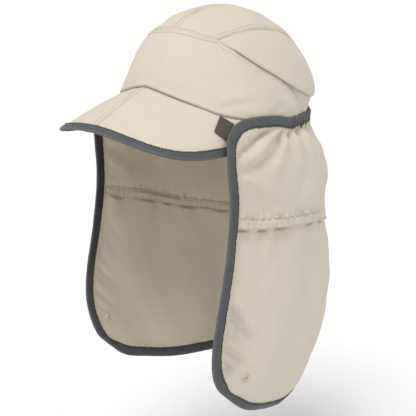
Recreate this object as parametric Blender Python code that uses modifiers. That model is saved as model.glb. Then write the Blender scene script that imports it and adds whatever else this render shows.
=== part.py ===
# Legionnaire cap: a soft cap with a folding peak and a long cape that hangs round the neck.
# Metres, +Z up. The cap faces -Y and the wearer's left is +X.
# The origin is the centre of the head opening, on the line where the cape's elastic grips.

import bmesh
import bpy
import math
import numpy as np

# Crown, measured on its outer face
HEAD_HALF_WIDTH = 0.082
HEAD_FRONT = 0.096
HEAD_BACK = 0.102
CROWN_HEIGHT = 0.100
PLAN_ROUNDNESS = 2.07
DOME_ROUNDNESS = 2.03
CROWN_CLOTH = 0.0012
RIM_FRONT = 0.034
RIM_TUCK = 0.006
SEAM_HEIGHT = 0.0815
BACK_SEAM_HEIGHT = 0.012
VENT_START = 44.5
VENT_LAP = 0.006
CINCH = 0.085
CINCH_HEIGHT = 0.028
CINCH_ANGLE = 72.0
CINCH_FADE = 52.0
RIM_FLARE = 0.004
FLARE_START = 8.0
FLARE_FADE = 30.0
FLARE_END = 88.0
SEAM_SWELL = 0.002

# Peak
BRIM_REACH = 0.0545
BRIM_HALF_WIDTH = 0.083
BRIM_BACK = 0.073
BRIM_FRONT_HEIGHT = 0.0025
BRIM_SIDE_DROP = 0.0165
BRIM_LEFT_DROP = 0.0028
BRIM_ROUNDNESS = 3.0
BRIM_DROP_POWER = 2.2
BRIM_CLOTH = 0.0018
BRIM_CROWN = 0.0015
BRIM_END = 62.0
BRIM_STATIONS = 17

# Tape that binds the edges
TAPE_WIDTH = 0.0082
TAPE_WALL = 0.0010
TAPE_SLACK = 0.00085
BRIM_TAPE_WIDTH = 0.0062
BRIM_TAPE_SLACK = 0.0005

# Cape
CAPE_CLOTH = 0.0010
CAPE_DROP = 0.284
CAPE_CORNER = 55.0
CAPE_SIDE_FLARE = 0.010
CAPE_BACK_FLARE = 0.030
CAPE_FRONT_FLARE = 0.003
CAPE_FRONT_SWEEP = 0.019
CAPE_TOP_HEIGHT = 0.0105
GATHER_DEPTH = 0.0022
GATHERS = 8
FOLD_DEPTH = 0.006
CHANNEL_RISE = 0.0016
CHANNEL_ROW = 5.0
CHANNEL_WIDTH = 0.22
CASING_HALF = 0.18
CORNER_WAY = 0.967
CORNER_OUT = 0.63
CORNER_CUT = 0.42
CORNER_REACH = 0.072
CORNER_SHARE = 0.12
CORNER_BOW = 0.73
TEMPLE_SHARE = 0.18
SIDE_SHARE = 0.5
CASING_CLOTH = 0.0010

# Snaps and label
SNAP_RADIUS = 0.0042
SNAP_THICKNESS = 0.0014
LABEL_CLOTH = 0.0014

# Air between neighbouring pieces
GAP = 0.0003

# Distance from the middle of each bound cloth to the face of its tape
BRIM_STAND = BRIM_CLOTH / 2 + BRIM_TAPE_SLACK + TAPE_WALL
CAPE_STAND = CAPE_CLOTH / 2 + TAPE_SLACK + TAPE_WALL

# Height of the crown's lower edge: angle from the front, share of its fall to the tucked back edge
RIM_TABLE = (
    (0.0, 1.00),
    (11.0, 0.92),
    (23.5, 0.785),
    (34.7, 0.648),
    (45.7, 0.485),
    (57.4, 0.365),
    (68.0, 0.24),
    (80.0, 0.12),
    (95.0, 0.04),
    (120.0, 0.0),
    (180.0, 0.0),
)

# Front seam: share of the way from centre front to the vent's corner, share of its height in front
BAND_TABLE = (
    (0.0, 1.00),
    (0.32, 0.987),
    (0.60, 0.960),
    (0.84, 0.930),
    (1.0, 0.912),
)

# Slanted edge under the vents: share of the way round to the back, share of the fall
VENT_TABLE = (
    (0.0, 0.0),
    (0.03, 0.045),
    (0.089, 0.133),
    (0.166, 0.278),
    (0.236, 0.406),
    (0.314, 0.534),
    (0.376, 0.639),
    (0.454, 0.759),
    (0.535, 0.863),
    (0.627, 0.952),
    (0.80, 0.99),
    (1.0, 1.0),
)

# Sides of the top panels: share of the way from the vent's corner over to the back seam,
# half width as a share of the half width at that corner
TOP_TABLE = (
    (0.0, 1.0),
    (0.052, 1.05),
    (0.11, 1.115),
    (0.212, 1.195),
    (0.305, 1.21),
    (0.394, 1.19),
    (0.479, 1.12),
    (0.617, 1.02),
    (0.795, 0.88),
    (1.0, 0.76),
)

# Upper edge of the cape: angle from the front, share of its height at the temple
CAPE_TOP_TABLE = (
    (55.0, 0.95),
    (60.0, 1.0),
    (67.0, 1.0),
    (78.0, 0.90),
    (87.0, 0.74),
    (97.0, 0.36),
    (112.0, 0.24),
    (125.0, 0.22),
    (180.0, 0.20),
)

# Sections of the cape below the peak's edge. Depths are shares of the cape's drop,
# the others are shares of the flare or sweep that each is named for.
# front, temple, side and back depth, front flare, front sweep, side flare, side shift, back flare
CAPE_TABLE = (
    (0.049, 0.053, 0.068, 0.077, 0.47, 0.03, 0.35, 0.00, 0.06),
    (0.106, 0.116, 0.134, 0.148, 0.82, 0.04, 0.72, 0.00, 0.60),
    (0.194, 0.205, 0.222, 0.236, 1.07, -0.07, 1.00, 0.00, 0.98),
    (0.285, 0.300, 0.334, 0.370, 1.22, -0.01, 0.88, 0.00, 0.86),
    (0.423, 0.434, 0.458, 0.480, 1.38, 0.32, 1.08, 0.00, 0.99),
    (0.563, 0.574, 0.585, 0.598, 1.38, 0.78, 1.27, 0.00, 1.13),
    (0.669, 0.690, 0.722, 0.729, 0.63, 0.96, 1.28, 0.06, 1.05),
    (0.751, 0.800, 0.838, 0.838, -0.41, 0.78, 1.10, 0.16, 0.78),
    (0.806, 0.892, 0.935, 0.908, -0.83, 0.45, 0.70, 0.32, 0.36),
    (0.843, 0.940, 0.992, 0.943, -1.00, -0.04, 0.10, 0.48, -0.20),
)

# The cape's last section, counted from the elastic
LAST_ROW = len(CAPE_TABLE) + 1

# Course of the channel for the neck elastic: place (-1 at the right front edge, 0 at the back,
# 1 at the left front edge), section
CHANNEL_TABLE = (
    (-1.0, 4.92),
    (-0.88, 5.10),
    (-0.74, 5.27),
    (-0.54, 5.54),
    (-0.32, 5.74),
    (-0.15, 5.70),
    (0.0, 5.54),
    (0.15, 5.32),
    (0.32, 5.17),
    (0.53, 5.02),
    (0.84, 4.98),
    (1.0, 4.86),
)

# Press studs: side, place round the cape, section
SNAP_TABLE = (
    ("left", 0.865, 9.0),
    ("right", -0.905, 8.75),
)

# Corners of the tab on the peak: way round, share of the way out.
# Fold at the crown, fold at the edge, open end at the edge, open end at the crown.
LABEL_CORNERS = (
    (0.740, 0.06),
    (0.790, 0.41),
    (0.903, 0.55),
    (0.845, 0.10),
)

# Deeper folds of the cape: place round it (0 at the back, 1 at the front edge), section from the top,
# half width round, half length in sections, share of the fold depth
FOLD_TABLE = (
    (0.80, 1.6, 0.05, 1.0, -0.8),
    (0.66, 2.2, 0.05, 1.1, 0.7),
    (0.52, 2.0, 0.05, 1.3, -0.7),
    (0.90, 6.4, 0.06, 1.6, -0.5),
    (0.74, 7.2, 0.07, 1.7, 0.5),
    (0.40, 6.8, 0.09, 2.0, -0.6),
    (0.16, 6.6, 0.08, 2.2, 0.6),
)


def clear_scene():
    """Remove every object that the file opened with."""
    for thing in list(bpy.data.objects):
        bpy.data.objects.remove(thing, do_unlink=True)


def make_collection(name):
    collection = bpy.data.collections.new(name)
    bpy.context.scene.collection.children.link(collection)
    return collection


def make_material(name, colour, roughness, metallic=0.0):
    material = bpy.data.materials.new(name)
    material.use_nodes = True
    shader = material.node_tree.nodes["Principled BSDF"]
    shader.inputs["Base Color"].default_value = (*colour, 1.0)
    shader.inputs["Roughness"].default_value = roughness
    shader.inputs["Metallic"].default_value = metallic
    return material


def smooth(x, table):
    """Read a two-column table with a curve that never overshoots its rows."""
    xs = np.array([row[0] for row in table], float)
    ys = np.array([row[1] for row in table], float)
    step = np.diff(xs)
    slope = np.diff(ys) / step
    tangent = np.zeros_like(ys)
    same = slope[:-1] * slope[1:] > 0
    mean = 2 * slope[:-1] * slope[1:] / np.where(same, slope[:-1] + slope[1:], 1.0)
    tangent[1:-1] = np.where(same, mean, 0.0)
    tangent[0] = slope[0]
    tangent[-1] = slope[-1]
    x = np.clip(np.asarray(x, float), xs[0], xs[-1])
    i = np.clip(np.searchsorted(xs, x, side="right") - 1, 0, len(step) - 1)
    t = (x - xs[i]) / step[i]
    start = (1 + 2 * t) * (1 - t) ** 2 * ys[i] + t * (1 - t) ** 2 * step[i] * tangent[i]
    end = t * t * (3 - 2 * t) * ys[i + 1] + t * t * (t - 1) * step[i] * tangent[i + 1]
    return start + end


def ease(t):
    """0 below 0, 1 above 1 and a smooth step between."""
    t = np.clip(t, 0.0, 1.0)
    return t * t * (3 - 2 * t)


def unit(vectors):
    return vectors / np.linalg.norm(vectors, axis=-1, keepdims=True)


def shape_crown(points):
    """Draw the crown in at the back, where the elastic grips, and let its front band stand out."""
    angle = np.degrees(np.arctan2(np.abs(points[..., 0]), -points[..., 1]))
    low = ease((CINCH_HEIGHT - points[..., 2]) / (CINCH_HEIGHT + RIM_TUCK))
    share = 1 - CINCH * low * ease((angle - CINCH_ANGLE) / CINCH_FADE)
    ahead = ease((angle - FLARE_START) / FLARE_FADE) * ease((FLARE_END - angle) / FLARE_FADE)
    near_rim = ease(1 - (points[..., 2] - RIM_FRONT * 0.2) / RIM_FRONT)
    near_seam = np.exp(-(((points[..., 2] - SEAM_HEIGHT * 0.93) / (SEAM_HEIGHT * 0.22)) ** 2))
    swell = ahead * (RIM_FLARE * near_rim + SEAM_SWELL * near_seam)
    share = share + swell / np.maximum(np.linalg.norm(points[..., :2], axis=-1), HEAD_HALF_WIDTH / 4)
    return points * np.stack([share, share, np.ones_like(share)], axis=-1)


def crown_toward(direction, out=0.0):
    """Point of the crown's outer face in a direction from the origin, moved out by a distance."""
    x = np.abs(direction[..., 0]) / (HEAD_HALF_WIDTH + out)
    reach = np.where(direction[..., 1] < 0, HEAD_FRONT, HEAD_BACK) + out
    y = np.abs(direction[..., 1]) / reach
    z = np.maximum(direction[..., 2], 0.0) / (CROWN_HEIGHT + out)
    flat = (x ** PLAN_ROUNDNESS + y ** PLAN_ROUNDNESS) ** (DOME_ROUNDNESS / PLAN_ROUNDNESS)
    scale = (flat + z ** DOME_ROUNDNESS) ** (-1 / DOME_ROUNDNESS)
    return shape_crown(direction * scale[..., None])


def crown_at(angle, height, out=0.0):
    """Point of the crown's outer face at an angle from the front and a height."""
    turn = np.radians(angle)
    side = np.sin(turn)
    ahead = np.cos(turn)
    reach = np.where(ahead > 0, HEAD_FRONT, HEAD_BACK) + out
    plan = (np.abs(side) / (HEAD_HALF_WIDTH + out)) ** PLAN_ROUNDNESS
    plan = (plan + (np.abs(ahead) / reach) ** PLAN_ROUNDNESS) ** (-1 / PLAN_ROUNDNESS)
    rise = np.clip(height / (CROWN_HEIGHT + out), 0.0, 1.0)
    radius = plan * (1 - rise ** DOME_ROUNDNESS) ** (1 / DOME_ROUNDNESS)
    points = np.stack([radius * side, -radius * ahead, height + 0 * radius], axis=-1)
    return shape_crown(points)


def rim_height(angle):
    return -RIM_TUCK + smooth(np.abs(angle), RIM_TABLE) * (RIM_FRONT + RIM_TUCK)


def vent_height(angle):
    """Height of the slanted edge that the vent panels end on."""
    start = SEAM_HEIGHT * BAND_TABLE[-1][1]
    way = (np.abs(angle) - VENT_START) / (180.0 - VENT_START)
    return start + smooth(way, VENT_TABLE) * (BACK_SEAM_HEIGHT - start)


def seam_height(angle):
    """Height of the seam round the crown: under the top panels in front, under the vents behind."""
    angle = np.abs(angle)
    front = SEAM_HEIGHT * smooth(angle / VENT_START, BAND_TABLE)
    return np.where(angle < VENT_START, front, vent_height(angle))


def vent_corner():
    """Where the front seam meets the vent: degrees over the crown, half width for its radius."""
    corner = crown_at(np.array([VENT_START]), seam_height(np.array([VENT_START])))[0]
    radius = math.hypot(corner[1], corner[2])
    return math.degrees(math.atan2(corner[2], -corner[1])), corner[0] / radius


def top_direction(over, share):
    """Direction to a place on the top: degrees over from the front, share of the half width."""
    start, width = vent_corner()
    last = 180.0 - math.degrees(BACK_SEAM_HEIGHT / HEAD_BACK)
    half = width * smooth((over - start) / (last - start), TOP_TABLE)
    turn = np.radians(over)
    return np.stack([share * half, -np.cos(turn), np.sin(turn)], axis=-1)


def over_at_seam(share, low, high, clearance):
    """Degrees over the crown at which a line of the top meets the seam, found by halving."""
    low = np.full_like(share, low)
    high = np.full_like(share, high)
    rising = low[0] < 90.0
    for _ in range(40):
        middle = (low + high) / 2
        point = crown_toward(top_direction(middle, share))
        angle = np.degrees(np.arctan2(point[:, 0], -point[:, 1]))
        above = point[:, 2] > seam_height(angle) + clearance
        low = np.where(above == rising, low, middle)
        high = np.where(above == rising, middle, high)
    return (low + high) / 2


def back_corner_angle():
    """Angle from the front at which the sides of the top panels reach the back seam."""
    over = over_at_seam(np.array([1.0]), 120.0, 179.0, 0.0)
    point = crown_toward(top_direction(over, np.array([1.0])))[0]
    return math.degrees(math.atan2(point[0], -point[1]))


def band_top(angle):
    """Height of the band's upper edge, which runs on a little way under the vent panels."""
    angle = np.abs(angle)
    lap = ease((angle - VENT_START) / 30.0) * ease((back_corner_angle() - 3.0 - angle) / 22.0)
    return seam_height(angle) + VENT_LAP * lap


def grid_mesh(name, points, closed=False):
    """Quads over a grid of points, rows by columns, closed round its columns if asked."""
    rows, columns = points.shape[:2]
    faces = []
    for i in range(rows - 1):
        for j in range(columns if closed else columns - 1):
            k = (j + 1) % columns
            faces.append((i * columns + j, i * columns + k, (i + 1) * columns + k, (i + 1) * columns + j))
    mesh = bpy.data.meshes.new(name)
    mesh.from_pydata(points.reshape(-1, 3).tolist(), [], faces)
    mesh.validate()
    mesh.shade_smooth()
    return mesh


def add_object(name, mesh, material, collection):
    thing = bpy.data.objects.new(name, mesh)
    thing.data.materials.append(material)
    collection.objects.link(thing)
    return thing


def add_wall(thing, thickness, offset):
    wall = thing.modifiers.new("wall", "SOLIDIFY")
    wall.thickness = thickness
    wall.offset = offset
    wall.use_quality_normals = True
    return wall


def face_outward(mesh):
    """Turn the faces of a closed mesh to point out of it."""
    shape = bmesh.new()
    shape.from_mesh(mesh)
    bmesh.ops.recalc_face_normals(shape, faces=shape.faces)
    shape.to_mesh(mesh)
    shape.free()


def tube_mesh(name, sections, closed):
    """Skin over equal sections, joined end to end or capped."""
    count, sides = sections.shape[:2]
    faces = []
    for i in range(count if closed else count - 1):
        k = (i + 1) % count
        for j in range(sides):
            n = (j + 1) % sides
            faces.append((i * sides + j, i * sides + n, k * sides + n, k * sides + j))
    if not closed:
        faces.append(tuple(range(sides))[::-1])
        faces.append(tuple((count - 1) * sides + j for j in range(sides)))
    mesh = bpy.data.meshes.new(name)
    mesh.from_pydata(sections.reshape(-1, 3).tolist(), [], faces)
    mesh.validate()
    face_outward(mesh)
    return mesh


def slopes(surface, u, v, towards):
    """How a surface's points move with each of its two parameters, measured to the inner side."""
    step_u = np.where(u > towards[0], -1.0, 1.0) * 0.003
    step_v = np.where(v > towards[1], -1.0, 1.0) * 0.003
    here = surface(u, v)
    along_u = (surface(u + step_u, v) - here) / step_u[:, None]
    along_v = (surface(u, v + step_v) - here) / step_v[:, None]
    return here, along_u, along_v


def walk(surface, u, v, shift, towards):
    """Parameters of the place on a surface that lies a short way from another."""
    target = surface(u, v) + shift
    for _ in range(4):
        here, along_u, along_v = slopes(surface, u, v, towards)
        away = target - here
        uu = np.sum(along_u * along_u, axis=-1)
        vv = np.sum(along_v * along_v, axis=-1)
        uv = np.sum(along_u * along_v, axis=-1)
        au = np.sum(along_u * away, axis=-1)
        av = np.sum(along_v * away, axis=-1)
        size = uu * vv - uv * uv
        u = u + (au * vv - av * uv) / size
        v = v + (av * uu - au * uv) / size
    return u, v


def add_tape(name, surface, u, v, towards, slot, width, closed, material, collection):
    """A tape folded over the edge of a cloth: a U that follows the cloth's surface inward."""
    edge, along_u, along_v = slopes(surface, u, v, towards)
    normal = unit(np.cross(along_u, along_v))
    if closed:
        along = unit(np.roll(edge, -1, axis=0) - np.roll(edge, 1, axis=0))
    else:
        along = unit(np.gradient(edge, axis=0))
    inward = unit(np.cross(normal, along))
    middle_u = u + (towards[0] - u) * 0.01
    middle_v = v + (towards[1] - v) * 0.01
    inward = inward * np.sign(np.sum(inward * (surface(middle_u, middle_v) - edge), axis=-1, keepdims=True))
    back = GAP + TAPE_WALL
    lip_u, lip_v = walk(surface, u, v, inward * (width - back), towards)
    lip, lip_along_u, lip_along_v = slopes(surface, lip_u, lip_v, towards)
    lip_normal = unit(np.cross(lip_along_u, lip_along_v))
    half = slot + TAPE_WALL
    sections = np.stack([
        edge - back * inward + half * normal,
        edge - back * inward - half * normal,
        lip - half * lip_normal,
        lip - slot * lip_normal,
        edge - GAP * inward - slot * normal,
        edge - GAP * inward + slot * normal,
        lip + slot * lip_normal,
        lip + half * lip_normal,
    ], axis=1)
    mesh = tube_mesh(name, sections, closed)
    return add_object(name, mesh, material, collection)


def build_band(material, collection):
    """The crown's lower band, one ring from its edge up to the seams of the top and the vents."""
    quarter = np.concatenate([np.linspace(0, VENT_START, 8), np.linspace(VENT_START, 180, 21)[1:]])
    angle = np.concatenate([quarter, -quarter[-2:0:-1]])
    low = rim_height(angle)
    high = band_top(angle) - GAP
    rows = [crown_at(angle, low + t * (high - low)) for t in (0.0, 0.22, 0.55, 1.0)]
    thing = add_object("crown_band", grid_mesh("crown_band", np.stack(rows), closed=True), material, collection)
    add_wall(thing, CROWN_CLOTH, -1.0)
    return thing


def build_top(side, name, material, collection):
    """Half of the top, from the front seam over the crown and down to the back of the band."""
    across = np.linspace(0.0, 1.0, 7)
    start = over_at_seam(across, 30.0, 89.0, 2 * GAP)
    end = over_at_seam(across, 120.0, 179.0, GAP)
    rows = []
    for t in np.linspace(0.0, 1.0, 18):
        points = crown_toward(top_direction(start + t * (end - start), across))
        points[:, 0] += GAP * (1 - 2 * across)
        points[:, 0] *= side
        rows.append(points)
    grid = np.stack(rows)
    if side < 0:
        grid = grid[:, ::-1]
    thing = add_object(name, grid_mesh(name, grid), material, collection)
    add_wall(thing, CROWN_CLOTH, -1.0)
    return thing


def build_vent(side, name, material, collection):
    """A vent panel, level with the top along its upper edge and lapped over the band below."""
    way = np.linspace(0.03, 0.98, 17)
    first = vent_corner()[0]
    last = over_at_seam(np.array([1.0]), 120.0, 179.0, 0.0)[0]
    over = first + way * (last - first)
    upper = unit(top_direction(over, np.ones_like(over)))
    angle = VENT_START + way * (back_corner_angle() - VENT_START)
    lower = unit(crown_at(angle, vent_height(angle)))
    lift = CROWN_CLOTH + 2 * GAP
    rows = []
    for t in (0.0, 0.2, 0.4, 0.6, 0.8, 1.0):
        inset = 2 * GAP / HEAD_HALF_WIDTH * (1 - t)
        share = inset + t * (1 - inset)
        direction = unit(upper + share * (lower - upper))
        rows.append(crown_toward(direction, lift * ease(t / 0.6)))
    grid = np.stack(rows)
    grid[..., 0] *= side
    if side > 0:
        grid = grid[:, ::-1]
    thing = add_object(name, grid_mesh(name, grid), material, collection)
    add_wall(thing, CROWN_CLOTH, -1.0)
    return thing


def brim_surface(way, out):
    """Middle of the peak: way is -1 to 1 from side to side, out is 0 at the crown and 1 at the edge."""
    angle = way * BRIM_END
    inner = crown_at(angle, rim_height(angle), -CROWN_CLOTH / 2)
    inner[..., 2] -= GAP + BRIM_CLOTH * 0.75
    turn = np.radians(np.abs(way) * 90.0)
    x = np.sign(way) * BRIM_HALF_WIDTH * np.sin(turn) ** (2 / BRIM_ROUNDNESS)
    reach = HEAD_FRONT + BRIM_REACH - BRIM_BACK
    y = -BRIM_BACK - reach * np.cos(turn) ** (2 / BRIM_ROUNDNESS)
    z = BRIM_FRONT_HEIGHT - BRIM_SIDE_DROP * (np.abs(x) / BRIM_HALF_WIDTH) ** BRIM_DROP_POWER
    z = z - BRIM_LEFT_DROP * np.maximum(x, 0.0) / BRIM_HALF_WIDTH
    outer = np.stack([x, y, z], axis=-1)
    points = inner + (outer - inner) * out[..., None]
    points[..., 2] += BRIM_CROWN * 4 * out * (1 - out)
    return points


def brim_ways(count):
    """Places from the centre to the side of the peak, about evenly spaced along its edge."""
    dense = np.linspace(0.0, 1.0, 400)
    edge = brim_surface(dense, np.ones_like(dense))
    length = np.concatenate([[0.0], np.cumsum(np.linalg.norm(np.diff(edge, axis=0), axis=1))])
    return np.interp(np.linspace(0.0, length[-1], count), length, dense)


def build_brim(side, name, material, collection):
    """Half of the peak, from the seam at centre front to its end under the cape."""
    ways = brim_ways(BRIM_STATIONS)
    outs = np.array([0.0, 0.15, 0.32, 0.5, 0.68, 0.84, 0.93, 1.0])
    shape = (len(outs), len(ways))
    grid = brim_surface(np.broadcast_to(side * ways, shape), np.broadcast_to(outs[:, None], shape))
    grid[..., 0] += side * GAP / 2 * (1 - ways)
    if side < 0:
        grid = grid[:, ::-1]
    thing = add_object(name, grid_mesh(name, grid), material, collection)
    add_wall(thing, BRIM_CLOTH, 0.0)
    return thing


def build_brim_tape(material, collection):
    """The tape along the peak's edge."""
    half = brim_ways(BRIM_STATIONS)
    way = np.concatenate([-half[:0:-1], half])
    edge = np.ones_like(way)
    slot = BRIM_STAND - TAPE_WALL
    return add_tape("brim_binding", brim_surface, way, edge, (0.0, 0.5), slot, BRIM_TAPE_WIDTH, False,
                    material, collection)


def resample(points, share):
    """Points at shares of the length of a line."""
    length = np.concatenate([[0.0], np.cumsum(np.linalg.norm(np.diff(points, axis=0), axis=1))])
    length /= length[-1]
    return np.stack([np.interp(share, length, points[:, k]) for k in range(3)], axis=-1)


def top_section(share, drop, front):
    """A section along the elastic: round the crown from the front corner to the centre back."""
    angle = np.linspace(CAPE_CORNER, 180.0, 120)
    height = CAPE_TOP_HEIGHT * smooth(angle, CAPE_TOP_TABLE) - GAP - TAPE_WALL
    out = CAPE_STAND + 3 * GAP
    line = crown_at(angle, height, out)
    line[:, 2] -= drop
    if front is not None:
        pull = np.clip(1 - (angle - CAPE_CORNER) / 45.0, 0.0, 1.0)[:, None] ** 2
        line = line + (front - line[0]) * pull
    return resample(line, share)


def lower_section(row, share):
    """A section of the hanging cape: front edge to the side, then round to the centre back."""
    front_depth, temple, side_depth, back_depth, flare, sweep, side_flare, shift, back_flare = row
    edge_stand = BRIM_STAND + CAPE_STAND + 2 * GAP
    front_x = BRIM_HALF_WIDTH + edge_stand + flare * CAPE_FRONT_FLARE
    front_y = -(BRIM_BACK + edge_stand + sweep * CAPE_FRONT_SWEEP)
    side_x = HEAD_HALF_WIDTH + CAPE_STAND + side_flare * CAPE_SIDE_FLARE
    side_y = -shift * HEAD_FRONT
    back_y = HEAD_BACK * (1 - CINCH) + CAPE_STAND + back_flare * CAPE_BACK_FLARE
    ahead = np.linspace(1.0, 0.0, 50)
    first_y = side_y + (front_y - side_y) * ahead
    first_x = side_x + (front_x - side_x) * ahead ** 2
    turn = np.linspace(0.0, math.pi / 2, 90)[1:]
    second_x = side_x * np.cos(turn) ** 1.03
    second_y = side_y + (back_y - side_y) * np.sin(turn) ** 1.03
    line = np.stack([np.concatenate([first_x, second_x]), np.concatenate([first_y, second_y])], axis=-1)
    line = np.concatenate([line, np.zeros((len(line), 1))], axis=1)
    points = resample(line, share)
    corner = front_depth + CORNER_BOW * (temple - front_depth)
    depths = ((0.0, front_depth), (CORNER_SHARE, corner), (TEMPLE_SHARE, temple), (SIDE_SHARE, side_depth),
              (1.0, back_depth))
    points[:, 2] = -CAPE_DROP * smooth(share, depths)
    return points


def cape_sections(share):
    """All the sections of half the cape, one above the other."""
    lay = BRIM_STAND + CAPE_STAND + 7 * GAP
    over_brim = brim_surface(np.array([-CORNER_WAY]), np.array([CORNER_OUT]))[0]
    over_brim = over_brim + np.array([-0.3, -0.1, 0.95]) * lay
    over_brim[0] = -over_brim[0]
    rows = [top_section(share, 0.0, None)]
    rows.append(top_section(share, TAPE_WIDTH * 1.3, over_brim))
    rows += [lower_section(row, share) for row in CAPE_TABLE]
    return np.stack(rows)


def cape_surface(place, row):
    """Middle of the cape: place is 0 at the back and -1 or 1 at the front edges, row counts sections."""
    place, row = np.broadcast_arrays(np.asarray(place, float), np.asarray(row, float))
    share, back = np.unique(1 - np.abs(place).ravel(), return_inverse=True)
    sections = cape_sections(share)
    tangents = np.gradient(sections, axis=0)
    tangents[1] = sections[1] - sections[0]
    column = back.ravel()
    level = np.clip(row.ravel(), 0.0, LAST_ROW)
    i = np.minimum(level.astype(int), LAST_ROW - 1)
    t = (level - i)[:, None]
    points = (1 + 2 * t) * (1 - t) ** 2 * sections[i, column] + t * (1 - t) ** 2 * tangents[i, column]
    points += t * t * (3 - 2 * t) * sections[i + 1, column] + t * t * (t - 1) * tangents[i + 1, column]
    points = points.reshape(place.shape + (3,))
    points[..., 0] *= np.where(place < 0, -1.0, 1.0)
    return points


def fold_height(place, row):
    """How far the cape stands out at a place: gathers under the elastic, the channel, and its folds."""
    side = np.abs(place)
    gathered = ease((0.62 - side) / 0.10) * ease((row - 0.7) / 0.6) * ease((3.4 - row) / 2.4)
    rise = GATHER_DEPTH * gathered * np.cos(place * math.pi * 2 * GATHERS)
    clear = ease((1 - side - 0.045) / 0.05) * ease((row - 0.85) / 0.8) * ease((LAST_ROW - 0.35 - row) / 0.6)
    course = smooth(place, CHANNEL_TABLE)
    rise = rise + CHANNEL_RISE * np.exp(-(((row - course) / CHANNEL_WIDTH) ** 2)) * clear
    for centre, level, width, length, depth in FOLD_TABLE:
        lobe = np.exp(-(((side - centre) / width) ** 2) - ((row - level) / length) ** 2)
        rise = rise + FOLD_DEPTH * depth * lobe * clear
    return rise


def cape_frame(place, row):
    """Outward normals of the cape's smooth middle surface."""
    step = 0.004
    across = cape_surface(np.minimum(place + step, 1), row) - cape_surface(np.maximum(place - step, -1), row)
    down = cape_surface(place, np.minimum(row + 0.04, LAST_ROW)) - cape_surface(place, np.maximum(row - 0.04, 0))
    return unit(np.cross(across, down))


def cape_point(place, row, out=0.0):
    """The cape with its folds, moved out by a distance."""
    rise = fold_height(place, row) + out
    return cape_surface(place, row) + cape_frame(place, row) * rise[..., None]


def corner_row(place):
    """Row on which the cape's upper edge starts, lowered to round off its front corner."""
    return CORNER_CUT * np.clip(1 - (1 - np.abs(place)) / CORNER_REACH, 0.0, 1.0) ** 2


def cape_grid():
    """Places and rows of the cape's mesh, close together at its edges and bent to run along the channel."""
    near = np.array([0.66, 0.72, 0.78, 0.83, 0.865, 0.895, 0.92, 0.945, 0.965, 0.982, 1.0])
    half = np.concatenate([np.linspace(0.0, 0.60, 17), near])
    place = np.concatenate([-half[:0:-1], half])
    level = np.array([0, 0.3, 0.65, 1.0, 1.4, 1.9, 2.5, 3.2, 4.1, 4.75, 5, 5.25, 5.8, 6.6, 7.4, 8.2, 9, 9.6,
                      10.1, 10.55, LAST_ROW])
    start = corner_row(place)
    row = start[None, :] + (LAST_ROW - start[None, :]) * (level[:, None] / LAST_ROW)
    bend = np.where(level < CHANNEL_ROW, ease(level / CHANNEL_ROW), ease((LAST_ROW - level) / CHANNEL_ROW))
    row = row + (smooth(place, CHANNEL_TABLE) - CHANNEL_ROW)[None, :] * bend[:, None]
    return np.broadcast_to(place, row.shape), row


def build_cape(material, collection):
    """The cape, one sheet of cloth."""
    place, row = cape_grid()
    points = cape_point(place, row)
    thing = add_object("cape", grid_mesh("cape", points[:, ::-1]), material, collection)
    add_wall(thing, CAPE_CLOTH, 0.0)
    return thing


def ring_of(grid):
    """The border of a grid, once round."""
    return np.concatenate([grid[0, :-1], grid[:-1, -1], grid[-1, :0:-1], grid[:0:-1, 0]])


def build_cape_tape(material, collection):
    """The tape all round the cape: its upper edge, both front edges and the hem."""
    place, row = cape_grid()
    u = ring_of(place)
    v = ring_of(row)
    middle = (0.0, LAST_ROW / 2)
    slot = CAPE_STAND - TAPE_WALL
    return add_tape("cape_binding", cape_point, u, v, middle, slot, TAPE_WIDTH, True, material, collection)


def build_casing(material, collection):
    """The strip inside the cape that holds the neck elastic."""
    place = cape_grid()[0][0]
    place = place[np.abs(place) < 0.95]
    rows = smooth(place, CHANNEL_TABLE)[None, :] + CASING_HALF * np.array([-1.0, 0.0, 1.0])[:, None]
    out = -(CAPE_CLOTH / 2 + 2 * GAP + CASING_CLOTH / 2)
    grid = cape_point(np.broadcast_to(place, rows.shape), rows, out)
    thing = add_object("neck_casing", grid_mesh("neck_casing", grid[:, ::-1]), material, collection)
    add_wall(thing, CASING_CLOTH, 0.0)
    return thing


def add_disc(name, centre, normal, radius, thickness, material, collection):
    """A round plate with a softened rim, lying on a surface."""
    bpy.ops.mesh.primitive_cylinder_add(vertices=14, radius=radius, depth=thickness)
    thing = bpy.context.object
    thing.name = name
    thing.data.name = name
    for other in list(thing.users_collection):
        other.objects.unlink(thing)
    collection.objects.link(thing)
    thing.data.materials.append(material)
    thing.location = centre
    thing.rotation_mode = "QUATERNION"
    turn = np.array([0.0, 0.0, 1.0])
    axis = np.cross(turn, normal)
    angle = math.acos(float(np.clip(normal[2], -1, 1)))
    length = float(np.linalg.norm(axis))
    axis = axis / length
    half = math.sin(angle / 2)
    thing.rotation_quaternion = (math.cos(angle / 2), axis[0] * half, axis[1] * half, axis[2] * half)
    edge = thing.modifiers.new("soft_rim", "BEVEL")
    edge.width = thickness * 0.3
    edge.segments = 1
    edge.limit_method = "ANGLE"
    return thing


def build_snaps(material, collection):
    """A press stud near the lower front corner of each side: a cap outside and a ring inside."""
    for label, spot, level in SNAP_TABLE:
        place = np.array([spot])
        row = np.array([level])
        for face, part, radius in ((1.0, "cap", SNAP_RADIUS), (-1.0, "socket", SNAP_RADIUS * 0.9)):
            away = face * (CAPE_CLOTH / 2 + GAP + SNAP_THICKNESS / 2 + 0.0002)
            centre = cape_point(place, row, np.array([away]))[0]
            near = cape_point(place + np.array([0.01]), row)[0] - cape_point(place - np.array([0.01]), row)[0]
            below = cape_point(place, row + 0.05)[0] - cape_point(place, row - 0.05)[0]
            normal = unit(np.cross(below, near))
            add_disc(f"snap_{part}_{label}", centre, normal, radius, SNAP_THICKNESS, material, collection)


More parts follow.
